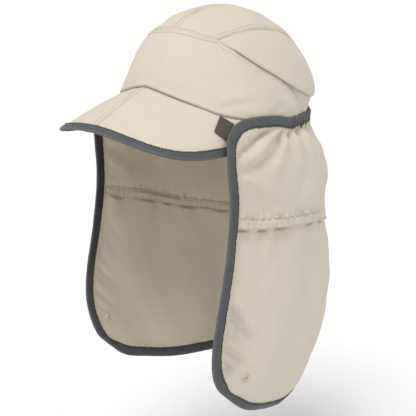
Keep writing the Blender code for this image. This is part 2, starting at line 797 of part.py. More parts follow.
def build_label(material, collection):
    """The folded woven tab that lies on the peak beside the cape's left front edge."""
    fold_in, fold_out, open_out, open_in = (np.array(corner) for corner in LABEL_CORNERS)
    along, down = np.meshgrid(np.linspace(0.0, 1.0, 6), np.linspace(0.0, 1.0, 6))
    inner = fold_in + (open_in - fold_in) * along[..., None]
    outer = fold_out + (open_out - fold_out) * along[..., None]
    spots = inner + (outer - inner) * down[..., None]
    grid = brim_surface(spots[..., 0], spots[..., 1])
    across = np.gradient(grid, axis=1)
    out = np.gradient(grid, axis=0)
    normal = unit(np.cross(across, out))
    normal *= np.sign(normal[..., 2:3])
    grid = grid + normal * (BRIM_CLOTH / 2 + GAP + LABEL_CLOTH / 2)
    thing = add_object("label_tab", grid_mesh("label_tab", grid), material, collection)
    add_wall(thing, LABEL_CLOTH, 0.0)
    return thing


def build():
    clear_scene()
    cap = make_collection("legionnaire_cap")
    cloth = make_material("cap_cloth", (0.62, 0.55, 0.44), 0.85)
    tape = make_material("binding_tape", (0.12, 0.13, 0.14), 0.75)
    weave = make_material("label_weave", (0.10, 0.08, 0.06), 0.8)
    plastic = make_material("snap_plastic", (0.55, 0.49, 0.40), 0.4)
    build_band(cloth, cap)
    build_top(1.0, "top_panel_left", cloth, cap)
    build_top(-1.0, "top_panel_right", cloth, cap)
    build_vent(1.0, "vent_panel_left", cloth, cap)
    build_vent(-1.0, "vent_panel_right", cloth, cap)
    build_brim(1.0, "brim_left", cloth, cap)
    build_brim(-1.0, "brim_right", cloth, cap)
    build_brim_tape(tape, cap)
    build_cape(cloth, cap)
    build_cape_tape(tape, cap)
    build_casing(cloth, cap)
    build_snaps(plastic, cap)
    build_label(weave, cap)


build()
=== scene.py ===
# Looks of the legionnaire cap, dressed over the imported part.
# Metres, +Z up. The cap faces -Y, the wearer's left is +X, the origin is where the elastic grips.
import bpy
import math
import numpy as np
from mathutils import Matrix, Vector


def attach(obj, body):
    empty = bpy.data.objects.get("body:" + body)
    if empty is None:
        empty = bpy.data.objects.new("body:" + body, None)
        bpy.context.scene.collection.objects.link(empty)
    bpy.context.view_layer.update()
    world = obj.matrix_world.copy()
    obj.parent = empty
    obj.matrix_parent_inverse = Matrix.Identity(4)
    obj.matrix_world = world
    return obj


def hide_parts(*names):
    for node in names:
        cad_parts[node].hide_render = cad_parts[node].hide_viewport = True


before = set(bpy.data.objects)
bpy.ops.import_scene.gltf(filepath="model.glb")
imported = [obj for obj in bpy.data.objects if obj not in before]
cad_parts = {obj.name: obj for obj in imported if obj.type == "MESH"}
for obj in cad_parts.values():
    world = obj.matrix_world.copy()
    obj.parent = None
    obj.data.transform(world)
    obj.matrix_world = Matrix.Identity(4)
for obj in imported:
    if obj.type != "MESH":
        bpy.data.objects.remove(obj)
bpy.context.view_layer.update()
root = "root"


# small maths, all on whole arrays

def cubic(t, first, last, leaving, reaching):
    # cubic from first to last, with the slopes at which it leaves and reaches them
    value = (1 + 2 * t) * (1 - t) ** 2 * first + t * (1 - t) ** 2 * leaving
    return value + t * t * (3 - 2 * t) * last + t * t * (t - 1) * reaching


def readTable(x, rows):
    # cubic through the rows of a two-column table, flat where the rows turn back, so it never overshoots
    xs, ys = np.array(rows, float).T
    step = np.diff(xs)
    slope = np.diff(ys) / step
    before, after = slope[:-1], slope[1:]
    same = before * after > 0
    mean = np.where(same, 2 * before * after / np.where(same, before + after, 1.0), 0.0)
    tangent = np.concatenate([slope[:1], mean, slope[-1:]])
    x = np.clip(np.asarray(x, float), xs[0], xs[-1])
    i = np.clip(np.searchsorted(xs, x, side="right") - 1, 0, len(step) - 1)
    return cubic((x - xs[i]) / step[i], ys[i], ys[i + 1], step[i] * tangent[i], step[i] * tangent[i + 1])


def rising(x, start, width):
    # smooth step: 0 up to start, 1 from a width further on
    t = np.clip((x - start) / width, 0.0, 1.0)
    return t * t * (3 - 2 * t)


def falling(x, end, width):
    # smooth step down: 0 from end on, 1 up to a width before it
    return rising(-x, -end, width)


def between(x, start, up, end, down):
    # 1 from start to end, with a smooth step up after start and down before end
    return rising(x, start, up) * falling(x, end, down)


def bell(distance, width):
    # bump of height 1 that falls off over a width
    return np.exp(-(distance / width) ** 2)


def bumps(distance, rows):
    # sum of bumps: distance, width and height of each
    return sum(height * bell(distance - at, width) for at, width, height in rows)


def unitOf(vectors):
    return vectors / np.maximum(np.linalg.norm(vectors, axis=-1, keepdims=True), 1e-12)


def ripple(u, v, pitch, seed, waves=7):
    # soft random relief from -1 to 1: a sum of plane waves with seeded directions, lengths and phases
    rng = np.random.default_rng(seed)
    total = 0.0 * u
    for _ in range(waves):
        turn, stretch, phase = rng.uniform(0, math.pi), rng.uniform(0.7, 1.5), rng.uniform(0, 2 * math.pi)
        total = total + np.cos((u * math.cos(turn) + v * math.sin(turn)) * 2 * math.pi / (pitch * stretch) + phase)
    return total / math.sqrt(waves * 2)


def ripples(u, v, rows):
    # sum of reliefs: depth, pitch and seed of each
    return sum(depth * ripple(u, v, pitch, seed) for depth, pitch, seed in rows)


def wander(s, pitch, seed):
    # irregular wave along a line: a cosine whose phase drifts
    rng = np.random.default_rng(seed)
    drift = rng.uniform(0, 2 * math.pi, 3)
    slow = np.sin(s * 1.7 / pitch + drift[0]) + 0.7 * np.sin(s * 2.9 / pitch + drift[1])
    return np.cos(s * 2 * math.pi / pitch + 1.1 * slow + drift[2])


def angleOf(points):
    # degrees from the front, positive on the wearer's left
    return np.degrees(np.arctan2(points[..., 0], -points[..., 1]))


def spans(points, axis):
    return np.linalg.norm(np.diff(points, axis=axis), axis=-1)


def runLength(points):
    # distance run along a line at each of its points
    return np.concatenate([[0.0], spans(points, 0).cumsum()])


def readLine(at, length, values):
    return np.stack([np.interp(at, length, values[:, a]) for a in range(3)], axis=-1)


def stretches(*rows):
    # steps end to end: start, end and count of each stretch
    return np.concatenate([np.linspace(*row)[min(k, 1):] for k, row in enumerate(rows)])


# meshes from grids of points

def addPiece(name, points, loops, starts, material):
    mesh = bpy.data.meshes.new(name)
    mesh.vertices.add(points.size // 3)
    mesh.vertices.foreach_set("co", points.astype(np.float32).ravel())
    mesh.loops.add(len(loops))
    mesh.loops.foreach_set("vertex_index", loops.astype(np.int32))
    mesh.polygons.add(len(starts))
    mesh.polygons.foreach_set("loop_start", starts.astype(np.int32))
    mesh.update(calc_edges=True)
    mesh.shade_smooth()
    mesh.materials.append(material)
    piece = bpy.data.objects.new(name, mesh)
    bpy.context.scene.collection.objects.link(piece)
    return piece


def addGrid(name, points, material, facing, closed=False, ring=False, wall=0.0, uv=None, marks=None):
    # quads over rows by columns of points, joined round the columns or the rows if asked;
    # faces turn to look along facing; uv is in metres along the cloth
    rows, columns = points.shape[:2]
    wrapped = np.concatenate([points, points[:, :1]], axis=1) if closed else points
    wrapped = np.concatenate([wrapped, wrapped[:1]], axis=0) if ring else wrapped
    tall, wide = wrapped.shape[:2]
    if uv is None:
        along = np.concatenate([np.zeros((tall, 1)), spans(wrapped, 1).cumsum(axis=1)], axis=1)
        down = np.concatenate([np.zeros((1, wide)), spans(wrapped, 0).cumsum(axis=0)], axis=0)
        uv = np.stack([along, down], axis=-1)
    i, j = np.arange(tall - 1)[:, None], np.arange(wide - 1)[None, :]
    k, m = (j + 1) % columns, (i + 1) % rows
    quads = np.stack([i * columns + j, i * columns + k, m * columns + k, m * columns + j], axis=-1).reshape(-1, 4)
    corners = (i * wide + j)[..., None] + np.array([0, 1, wide + 1, wide])
    corners = corners.reshape(-1, 4)
    flat = points.reshape(-1, 3)
    normal = np.cross(flat[quads[:, 2]] - flat[quads[:, 0]], flat[quads[:, 3]] - flat[quads[:, 1]])
    look = np.broadcast_to(facing, points.shape).reshape(-1, 3)[quads[:, 0]]
    if np.sum(normal * look) < 0:
        quads, corners = quads[:, ::-1], corners[:, ::-1]
    piece = addPiece(name, flat, quads.ravel(), np.arange(0, quads.size, 4), material)
    cut = uv.reshape(-1, 2)[corners.ravel()].astype(np.float32)
    piece.data.uv_layers.new(name="cut").data.foreach_set("uv", cut.ravel())
    for mark, values in (marks or {}).items():
        layer = piece.data.attributes.new(mark, "FLOAT", "POINT")
        layer.data.foreach_set("value", values.astype(np.float32).ravel())
    if wall:
        thick = piece.modifiers.new("wall", "SOLIDIFY")
        thick.thickness = wall
        thick.offset = -1.0
        thick.use_quality_normals = True
    return piece


def dress(piece, slotName, *nodes):
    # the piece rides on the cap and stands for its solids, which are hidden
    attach(piece, root)
    if nodes:
        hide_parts(*nodes)
    return piece


seamStitch = {"pitch": 0.0029, "length": 0.0018, "radius": 0.00027, "sink": 0.35}
tapeStitch = {"pitch": 0.0030, "length": 0.0017, "radius": 0.00042, "sink": 0.40}
# rings of one stitch: place along its half length, share of the radius; and how far its two ends dip
stitchRings = {"place": (-1.0, -0.6, 0.6, 1.0), "radius": (0.35, 1.0, 1.0, 0.35), "dip": -1.2, "sides": 5}


def addStitches(name, lines, material, size=seamStitch):
    # one small lozenge of thread per stitch along each line: rings round the thread, lower at both ends
    centres, tangents, normals = [], [], []
    for points, up in lines:
        length = runLength(points)
        count = max(int(length[-1] / size["pitch"]), 1)
        at = (np.arange(count) + 0.5) * length[-1] / count
        centres.append(readLine(at, length, points))
        tangents.append(unitOf(readLine(at + 1e-3, length, points) - readLine(at - 1e-3, length, points)))
        normals.append(unitOf(readLine(at, length, up)))
    centre, along = np.concatenate(centres), np.concatenate(tangents)
    across = unitOf(np.cross(along, np.concatenate(normals)))
    normal = np.cross(across, along)
    place = np.array(stitchRings["place"]) * size["length"] / 2
    radius = np.array(stitchRings["radius"]) * size["radius"]
    lift = np.array([stitchRings["dip"], size["sink"], size["sink"], stitchRings["dip"]]) * size["radius"]
    turn = np.arange(stitchRings["sides"]) * 2 * math.pi / stitchRings["sides"]
    ring = centre[:, None] + along[:, None] * place[:, None] + normal[:, None] * lift[:, None]
    spoke = across[:, None] * np.cos(turn)[:, None] + normal[:, None] * np.sin(turn)[:, None]
    points = ring[:, :, None] + radius[:, None, None] * spoke[:, None]
    count, rings, sides = points.shape[:3]
    base = np.arange(count)[:, None, None] * rings * sides
    i, j = np.arange(rings - 1)[None, :, None] * sides, np.arange(sides)[None, None, :]
    k = (j + 1) % sides
    quads = np.stack([base + i + j, base + i + sides + j, base + i + sides + k, base + i + k], axis=-1)
    ends = np.concatenate([base[:, 0] + j[0], base[:, 0] + (rings - 1) * sides + j[0, :, ::-1]])
    starts = np.concatenate([np.arange(0, quads.size, 4), quads.size + np.arange(len(ends)) * sides])
    return addPiece(name, points, np.concatenate([quads.ravel(), ends.ravel()]), starts, material)


# shader groups

def feed(tree, socket, value):
    # a link from another socket, or a set value
    if isinstance(value, bpy.types.NodeSocket):
        tree.links.new(value, socket)
    else:
        socket.default_value = value


def startGroup(name, inputs, outputs):
    group = bpy.data.node_groups.new(name, "ShaderNodeTree")
    for label, kind, value in inputs:
        socket = group.interface.new_socket(name=label, in_out="INPUT", socket_type="NodeSocket" + kind)
        if value is not None:
            socket.default_value = value
    for label in outputs:
        group.interface.new_socket(name=label, in_out="OUTPUT", socket_type="NodeSocketFloat")
    return group, group.nodes.new("NodeGroupInput").outputs, group.nodes.new("NodeGroupOutput").inputs


def addMath(tree, operation, *values, clamp=False):
    node = tree.nodes.new("ShaderNodeMath")
    node.operation = operation
    node.use_clamp = clamp
    for socket, value in zip(node.inputs, values):
        feed(tree, socket, value)
    return node.outputs[0]


def addNoise(tree, place, scale, detail):
    noise = tree.nodes.new("ShaderNodeTexNoise")
    noise.inputs["Detail"].default_value = detail
    feed(tree, noise.inputs["Vector"], place)
    feed(tree, noise.inputs["Scale"], scale)
    return noise.outputs["Fac"]


def makeWeave():
    # threads over and under: the product of a wave across and a wave down, softened by a fine crinkle
    group, inside, outside = startGroup("plainWeave", (
        ("Cut", "Vector", None), ("Threads", "Float", 1500.0), ("Crinkle", "Float", 0.5)), ("Height", "Shade"))
    split = group.nodes.new("ShaderNodeSeparateXYZ")
    group.links.new(inside["Cut"], split.inputs[0])
    rate = addMath(group, "MULTIPLY", inside["Threads"], math.pi)
    warp, weft = (addMath(group, "SINE", addMath(group, "MULTIPLY", split.outputs[a], rate)) for a in (0, 1))
    cross = addMath(group, "MULTIPLY", warp, weft)
    fine = addMath(group, "SUBTRACT", addNoise(group, inside["Cut"], 420.0, 4.0), 0.5)
    crinkle = addMath(group, "MULTIPLY", fine, inside["Crinkle"])
    height = addMath(group, "ADD", addMath(group, "MULTIPLY", cross, 0.35), addMath(group, "MULTIPLY", crinkle, 2.0))
    group.links.new(height, outside["Height"])
    group.links.new(addMath(group, "MULTIPLY_ADD", height, 0.5, 0.5), outside["Shade"])
    return group


def makeMottle():
    # slow blotches of the dye and the handling: two noises, one wide and one narrow
    group, inside, outside = startGroup("dyeMottle", (
        ("Place", "Vector", None), ("Wide", "Float", 22.0), ("Narrow", "Float", 160.0)), ("Fac",))
    wide, narrow = (addMath(group, "MULTIPLY", addNoise(group, inside["Place"], inside[label], 3.0), share)
                    for label, share in (("Wide", 0.65), ("Narrow", 0.35)))
    group.links.new(addMath(group, "ADD", wide, narrow, clamp=True), outside["Fac"])
    return group


def makeWearAndPaintedLight():
    # scuffs, dirt and painted light along edges and seams: painted shade on the cloth, painted highlights on the
    # tapes; the mark "edge" broken up by a noise
    group, inside, outside = startGroup("edgeWearAndPaintedLight", (
        ("Edge", "Float", 0.0), ("Place", "Vector", None), ("Amount", "Float", 0.5)), ("Mask",))
    broken = addMath(group, "MULTIPLY_ADD", addNoise(group, inside["Place"], 300.0, 5.0), 0.8, 0.35)
    wornAndPaintedLight = addMath(group, "MULTIPLY", inside["Edge"], broken)
    group.links.new(addMath(group, "MULTIPLY", wornAndPaintedLight, inside["Amount"], clamp=True), outside["Mask"])
    return group


weaveGroup, mottleGroup, wearAndLightGroup = makeWeave(), makeMottle(), makeWearAndPaintedLight()


def placeGroup(tree, group, **values):
    node = tree.nodes.new("ShaderNodeGroup")
    node.node_tree = group
    for label, value in values.items():
        feed(tree, node.inputs[label], value)
    return node.outputs


def mixColours(tree, factor, first, second):
    node = tree.nodes.new("ShaderNodeMix")
    node.data_type = "RGBA"
    tree.links.new(factor, node.inputs["Factor"])
    for socket, value in ((node.inputs[6], first), (node.inputs[7], second)):
        feed(tree, socket, (*value, 1.0) if isinstance(value, tuple) else value)
    return node.outputs[2]


def readMark(tree, label):
    mark = tree.nodes.new("ShaderNodeAttribute")
    mark.attribute_name = label
    return mark.outputs["Fac"]


def startMaterial(name):
    material = bpy.data.materials.new(name)
    material.use_nodes = True
    tree = material.node_tree
    place = tree.nodes.new("ShaderNodeTexCoord").outputs["Object"]
    return material, tree, tree.nodes["Principled BSDF"].inputs, place


def addBump(tree, shader, height, strength, distance):
    bump = tree.nodes.new("ShaderNodeBump")
    bump.inputs["Strength"].default_value = strength
    bump.inputs["Distance"].default_value = distance
    tree.links.new(height, bump.inputs["Height"])
    tree.links.new(bump.outputs["Normal"], shader["Normal"])


def makeCloth(name, look):
    # woven cloth: weave bump on the cut, mottled dye, the tapes' inner face painted darker as shade, a tint along
    # seams and edges that is partly scuffing and dirt and partly painted shade on the cloth and painted highlights on
    # the tapes, a faint sheen
    material, tree, shader, place = startMaterial(name)
    cut = tree.nodes.new("ShaderNodeUVMap")
    cut.uv_map = "cut"
    weave = placeGroup(tree, weaveGroup, Cut=cut.outputs["UV"], Threads=look["threads"], Crinkle=look["crinkle"])
    mottle = placeGroup(tree, mottleGroup, Place=place, Wide=look["wide"], Narrow=look["narrow"])["Fac"]
    wearAndLight = placeGroup(tree, wearAndLightGroup, Edge=readMark(tree, "edge"), Place=place, Amount=look["grimeAndPaintedLight"])["Mask"]
    dyeAndShade = mixColours(tree, mottle, look["dark"], look["light"])
    if "inner" in look:
        # the inner face of the tapes painted darker as shade
        dyeAndShade = mixColours(tree, readMark(tree, "inner"), dyeAndShade, look["inner"])
    raised = addMath(tree, "MULTIPLY", weave["Shade"], look["weaveShade"], clamp=True)
    woven = mixColours(tree, raised, dyeAndShade, look["thread"])
    tree.links.new(mixColours(tree, wearAndLight, woven, look["wornAndPaintedLight"]), shader["Base Color"])
    tree.links.new(addMath(tree, "MULTIPLY_ADD", mottle, 0.12, look["rough"], clamp=True), shader["Roughness"])
    addBump(tree, shader, weave["Height"], look["bump"], look["relief"])
    shader["Sheen Weight"].default_value = look["sheen"]
    shader["Sheen Roughness"].default_value = 0.45
    shader["Specular IOR Level"].default_value = look["specular"]
    return material


# its darker edge colour paints shade along the band's rim and under the vent's lap and the shadow under the channel's
# lip, and darkens the other seams
capCloth = makeCloth("capCloth", {
    "threads": 2600.0, "crinkle": 0.9, "wide": 20.0, "narrow": 130.0, "grimeAndPaintedLight": 0.45, "weaveShade": 0.16,
    "dark": (0.615, 0.553, 0.445), "light": (0.685, 0.624, 0.515), "thread": (0.735, 0.682, 0.580),
    "wornAndPaintedLight": (0.370, 0.310, 0.225), "rough": 0.70, "bump": 0.35, "relief": 0.0003, "sheen": 0.12, "specular": 0.25})
# the "inner" colour is painted shade on the tape's inner face; the lighter edge colour is a painted highlight on its
# folded edge and lips, with some scuffing
tapeCloth = makeCloth("bindingTape", {
    "threads": 1300.0, "crinkle": 1.4, "wide": 30.0, "narrow": 260.0, "grimeAndPaintedLight": 0.60, "weaveShade": 0.30,
    "dark": (0.050, 0.052, 0.054), "light": (0.084, 0.087, 0.090), "thread": (0.140, 0.144, 0.148),
    "wornAndPaintedLight": (0.170, 0.174, 0.178), "inner": (0.009, 0.009, 0.010), "rough": 0.62, "bump": 0.35, "relief": 0.0004,
    "sheen": 0.12, "specular": 0.35})
tabWeave = makeCloth("tabWeave", {
    "threads": 900.0, "crinkle": 1.2, "wide": 60.0, "narrow": 400.0, "grimeAndPaintedLight": 0.5, "weaveShade": 0.5,
    "dark": (0.050, 0.039, 0.031), "light": (0.082, 0.065, 0.052), "thread": (0.150, 0.122, 0.098),
    "wornAndPaintedLight": (0.160, 0.125, 0.095), "rough": 0.70, "bump": 0.8, "relief": 0.0004, "sheen": 0.08, "specular": 0.30})


def makePlain(name, colour, dark, rough, specular, grain):
    # moulded plastic or thread: a noise shifts the colour, the roughness and a fine bump
    material, tree, shader, place = startMaterial(name)
    mottle = placeGroup(tree, mottleGroup, Place=place, Wide=120.0, Narrow=grain)["Fac"]
    tree.links.new(mixColours(tree, mottle, dark, colour), shader["Base Color"])
    tree.links.new(addMath(tree, "MULTIPLY_ADD", mottle, 0.2, rough), shader["Roughness"])
    addBump(tree, shader, mottle, 0.25, 0.0001)
    shader["Specular IOR Level"].default_value = specular
    return material


seamThread = makePlain("seamThread", (0.42, 0.370, 0.280), (0.33, 0.285, 0.210), 0.60, 0.2, 1500.0)
greyThread = makePlain("greyThread", (0.012, 0.013, 0.016), (0.006, 0.007, 0.009), 0.70, 0.15, 1500.0)
tabThread = makePlain("tabThread", (0.075, 0.060, 0.048), (0.055, 0.044, 0.035), 0.60, 0.25, 1500.0)
snapPlastic = makePlain("snapPlastic", (0.66, 0.60, 0.49), (0.58, 0.52, 0.42), 0.35, 0.45, 900.0)
print("materials done")


# crown: a dome with rounded-square plan, drawn in at the back where the elastic grips

crown = {
    "halfWidth": 0.082, "front": 0.096, "back": 0.102, "height": 0.100, "planRound": 2.07, "domeRound": 2.03,
    "rimFront": 0.034, "rimTuck": 0.006, "seamHeight": 0.0815, "backSeamHeight": 0.012, "ventStart": 44.5,
    "ventLap": 0.006, "cinch": 0.085, "cinchHeight": 0.028, "rimFlare": 0.004, "seamSwell": 0.002,
    "cloth": 0.0008, "ventLift": 0.0024,
    # start and width in degrees of the drawn-in back and of its gathers; start, rise, end and fall of the flare
    "cinchFrom": (72.0, 52.0), "gatherFrom": (84.0, 14.0), "flareSpan": (8.0, 30.0, 88.0, 28.0),
    "gatherDepth": 0.0005, "gatherTall": 0.011, "gatherPitch": 0.0062,
    # radii that turn degrees into lengths of cloth, and the length of the vent
    "bandRadius": 0.085, "topRadius": 0.098, "ventRadius": 0.092, "ventRun": 0.15,
    # second rows of stitches: below the vent's edge on the band, and inside the side seam of the top
    "lapStitch": 0.0046, "lapGroove": 0.00025, "sideStitch": 0.0062, "sideGroove": 0.00022,
    # angle from the front, share of the rim's fall to the tucked back edge
    "rim": ((0, 1.00), (11, 0.92), (23.5, 0.785), (34.7, 0.648), (45.7, 0.485), (57.4, 0.365), (68, 0.24),
            (80, 0.12), (95, 0.04), (120, 0), (180, 0)),
    # share of the way to the vent's corner, share of the seam's height in front
    "seam": ((0, 1.00), (0.32, 0.987), (0.60, 0.960), (0.84, 0.930), (1, 0.912)),
    # share of the way round to the back, share of the fall of the slanted edge
    "vent": ((0, 0), (0.03, 0.045), (0.089, 0.133), (0.166, 0.278), (0.236, 0.406), (0.314, 0.534), (0.376, 0.639),
             (0.454, 0.759), (0.535, 0.863), (0.627, 0.952), (0.80, 0.99), (1, 1)),
    # share of the way over the crown, half width of the top as a share of its width at the corner
    "top": ((0, 1), (0.052, 1.05), (0.11, 1.115), (0.212, 1.195), (0.305, 1.21), (0.394, 1.19), (0.479, 1.12),
            (0.617, 1.02), (0.795, 0.88), (1, 0.76)),
    # soft dents and puffs of the band: angle, height, half length round in degrees, half height, lean, depth
    "dents": ((108, 0.023, 9, 0.0050, -0.00105, -0.0022), (101, 0.0135, 10, 0.0050, -0.00080, 0.0012),
              (122, 0.010, 8, 0.0060, -0.00120, 0.0014), (57, 0.021, 11, 0.0035, 0.00012, -0.0010),
              (60, 0.0285, 12, 0.0050, 0.00010, 0.0006), (88, 0.0135, 9, 0.0035, 0.00025, -0.0009),
              (20, 0.045, 14, 0.0130, 0.00020, 0.0006), (150, 0.004, 12, 0.0050, 0.00050, -0.0012)),
    # and of the top: angle, degrees up, half length round, half height in degrees, depth
    "topDents": ((50, 58, 22, 2.6, -0.0012), (56, 64, 26, 3.0, 0.0008), (75, 70, 26, 3.0, -0.0008),
                 (130, 62, 20, 6.0, -0.0008), (150, 48, 18, 6.0, 0.0008)),
    # depth, pitch and seed of the band's ripples
    "bandRipples": ((0.00018, 0.012, 3), (0.00035, 0.034, 4)),
    # distance from the edge, width and height of the roll at the band's rim and at the vent's slanted edge
    "rimBumps": ((0.0, 0.0009, -0.0009), (0.0022, 0.0012, 0.0003)),
    "ventBumps": ((0.0, 0.0007, -0.0007), (0.004, 0.003, 0.0003)),
}


def shapeCrown(points):
    # scale x and y: drawn in low at the back, standing out near the rim in front and near the seam
    angle, height = np.abs(angleOf(points)), points[..., 2]
    low = falling(height, crown["cinchHeight"], crown["cinchHeight"] + crown["rimTuck"])
    share = 1 - crown["cinch"] * low * rising(angle, *crown["cinchFrom"])
    nearRim = falling(height, crown["rimFront"] * 1.2, crown["rimFront"])
    nearSeam = bell(height - crown["seamHeight"] * 0.93, crown["seamHeight"] * 0.22)
    swell = between(angle, *crown["flareSpan"]) * (crown["rimFlare"] * nearRim + crown["seamSwell"] * nearSeam)
    share = share + swell / np.maximum(np.linalg.norm(points[..., :2], axis=-1), crown["halfWidth"] / 4)
    return points * np.stack([share, share, np.ones_like(share)], axis=-1)


def crownToward(direction, out=0.0):
    # the dome's face in a direction: |x/a|^p + |y/b|^p to the power q/p, plus |z/h|^q, is 1
    x = np.abs(direction[..., 0]) / (crown["halfWidth"] + out)
    y = np.abs(direction[..., 1]) / (np.where(direction[..., 1] < 0, crown["front"], crown["back"]) + out)
    z = np.maximum(direction[..., 2], 0.0) / (crown["height"] + out)
    flat = (x ** crown["planRound"] + y ** crown["planRound"]) ** (crown["domeRound"] / crown["planRound"])
    scale = (flat + z ** crown["domeRound"]) ** (-1 / crown["domeRound"])
    return shapeCrown(direction * scale[..., None])


def crownAt(angle, height, out=0.0):
    # the same face at an angle from the front and a height
    side, ahead = np.sin(np.radians(angle)), np.cos(np.radians(angle))
    reach = np.where(ahead > 0, crown["front"], crown["back"]) + out
    plan = (np.abs(side) / (crown["halfWidth"] + out)) ** crown["planRound"]
    plan = (plan + (np.abs(ahead) / reach) ** crown["planRound"]) ** (-1 / crown["planRound"])
    rise = np.clip(height / (crown["height"] + out), 0.0, 1.0)
    radius = plan * (1 - rise ** crown["domeRound"]) ** (1 / crown["domeRound"])
    return shapeCrown(np.stack([radius * side, -radius * ahead, height + 0 * radius], axis=-1))


def rimHeight(angle):
    return -crown["rimTuck"] + readTable(np.abs(angle), crown["rim"]) * (crown["rimFront"] + crown["rimTuck"])


def ventHeight(angle):
    start = crown["seamHeight"] * crown["seam"][-1][1]
    way = (np.abs(angle) - crown["ventStart"]) / (180.0 - crown["ventStart"])
    return start + readTable(way, crown["vent"]) * (crown["backSeamHeight"] - start)


def seamHeight(angle):
    angle = np.abs(angle)
    front = crown["seamHeight"] * readTable(angle / crown["ventStart"], crown["seam"])
    return np.where(angle < crown["ventStart"], front, ventHeight(angle))


corner = crownAt(np.array([crown["ventStart"]]), seamHeight(np.array([crown["ventStart"]])))[0]
topStart = math.degrees(math.atan2(corner[2], -corner[1]))
topWidth = corner[0] / math.hypot(corner[1], corner[2])
topEnd = 180.0 - math.degrees(crown["backSeamHeight"] / crown["back"])
frontSearch, backSearch = (30.0, 89.0), (120.0, 179.0)  # degrees over between which the top's seams lie


def topDirection(over, share):
    # direction to the top: degrees over from the front, share of the half width
    half = topWidth * readTable((over - topStart) / (topEnd - topStart), crown["top"])
    turn = np.radians(over)
    return np.stack([share * half, -np.cos(turn), np.sin(turn)], axis=-1)


def overAtSeam(share, search):
    # degrees over at which a line of the top meets the seam, by halving
    low, high = (np.full_like(share, end) for end in search)
    front = search == frontSearch
    for _ in range(40):
        middle = (low + high) / 2
        point = crownToward(topDirection(middle, share))
        above = point[:, 2] > seamHeight(angleOf(point))
        low, high = np.where(above == front, low, middle), np.where(above == front, middle, high)
    return (low + high) / 2


backOver = overAtSeam(np.array([1.0]), backSearch)[0]
backAngle = angleOf(crownToward(topDirection(np.array([backOver]), np.array([1.0]))))[0]

# rows of distance, width and height: the cloth rolls into the seam and puffs; then the dip under the stitches
seamLook = {"bumps": ((0.0, 0.00045, -0.00030), (0.0013, 0.0008, 0.00022)), "stitchAt": 0.0027, "groove": 0.00034,
            "grooveWidth": 0.0006}


def seamRelief(distance, pucker=1.0):
    groove = seamLook["groove"] * pucker * bell(distance - seamLook["stitchAt"], seamLook["grooveWidth"])
    return bumps(distance, seamLook["bumps"]) - groove


def pullOf(run, seed):
    # how hard each stitch pulls
    return 0.8 + 0.35 * wander(run, 0.0035, seed)


def spread(length, start=True, end=True, count=24):
    # shares of a length, close together near the edges that carry a seam
    near = np.array([0, 0.3, 0.65, 1.0, 1.4, 1.8, 2.2, 2.5, 2.8, 3.2, 3.8, 4.8, 6.2]) / 1000 / length
    first = near if start else np.array([0.0])
    last = 1 - near[::-1] if end else np.array([1.0])
    return np.concatenate([first, np.linspace(first[-1], last[0], count + 2)[1:-1], last])


def bandHeights(angle):
    lap = between(np.abs(angle), crown["ventStart"], 30.0, backAngle - 3.0, 22.0)
    return rimHeight(angle), seamHeight(angle) + crown["ventLap"] * lap


def bandPoint(angle, height):
    # the band with its seams, soft dents and the pull of its stitches
    low, high = bandHeights(angle)
    away, fromRim = np.abs(angle), height - low
    arc = np.radians(angle) * crown["bandRadius"]
    out = ripples(arc, height, crown["bandRipples"])
    for at, level, long, tall, lean, depth in crown["dents"]:
        out = out + depth * bell(away - at, long) * bell(height - level - lean * (away - at), tall)
    pull = pullOf(arc, 5)
    out = out + np.where(away < crown["ventStart"] + 1, seamRelief(high - height, pull), 0.0)
    lap = between(away, crown["ventStart"], 2.0, 74.0, 14.0)
    fromLap = seamHeight(angle) - crown["lapStitch"] - height
    out = out - crown["lapGroove"] * pull * lap * bell(fromLap, seamLook["grooveWidth"])
    gathered = rising(away, *crown["gatherFrom"]) * bell(fromRim, crown["gatherTall"])
    out = out + bumps(fromRim, crown["rimBumps"])
    return crownAt(angle, height, out + crown["gatherDepth"] * gathered * wander(arc, crown["gatherPitch"], 8))


def makeBand():
    # ring from the rim up to the seams: rows share the height, columns go once round
    angle = np.linspace(-180.0, 180.0, 521)[:-1]
    low, high = bandHeights(angle)
    height = low + spread(0.050, count=22)[:, None] * (high - low)
    points = bandPoint(np.broadcast_to(angle, height.shape), height)
    atVent = rising(np.abs(angle), crown["ventStart"] + 2, 3.0)
    # the mark "edge" paints shade along the rim, where the band overhangs the peak, and along the upper edge under
    # the vent's lap, and darkens the front seam a little
    edge = (0.15 + 0.85 * atVent) * bell(high - height, 0.0012) + 0.8 * bell(height - low, 0.0015)
    piece = addGrid("crownBand", points, capCloth, points * (1, 1, 0.3), closed=True, wall=crown["cloth"],
                    marks={"edge": edge})
    dress(piece, "cloth", "crown_band")


def topPoint(over, across, start, side):
    # half of the top, rolled into its seams at the centre, in front and along the vent
    direction = topDirection(over, across)
    base = crownToward(direction)
    fromCentre = base[..., 0]
    rise = np.degrees(np.arctan2(base[..., 2], np.linalg.norm(base[..., :2], axis=-1)))
    fromSide = (1 - across) * fromCentre / np.maximum(across, 1e-6)
    fromFront = np.radians(over - start) * crown["topRadius"]
    pull = pullOf(fromFront + fromCentre, 11 + side)
    out = seamRelief(fromCentre, pull) * 0.7 + seamRelief(fromSide, pull) + seamRelief(fromFront, pull)
    second = bell(fromSide - crown["sideStitch"], 0.0007) * rising(fromFront, 0.0, 0.004)
    out = out - crown["sideGroove"] * pull * second + 0.0004 * ripple(fromCentre, over * 0.0017, 0.030, 21 + side)
    for at, level, long, tall, depth in crown["topDents"]:
        out = out + depth * bell(angleOf(base) - at, long) * bell(rise - level, tall)
    return crownToward(direction, out) * (side, 1, 1)


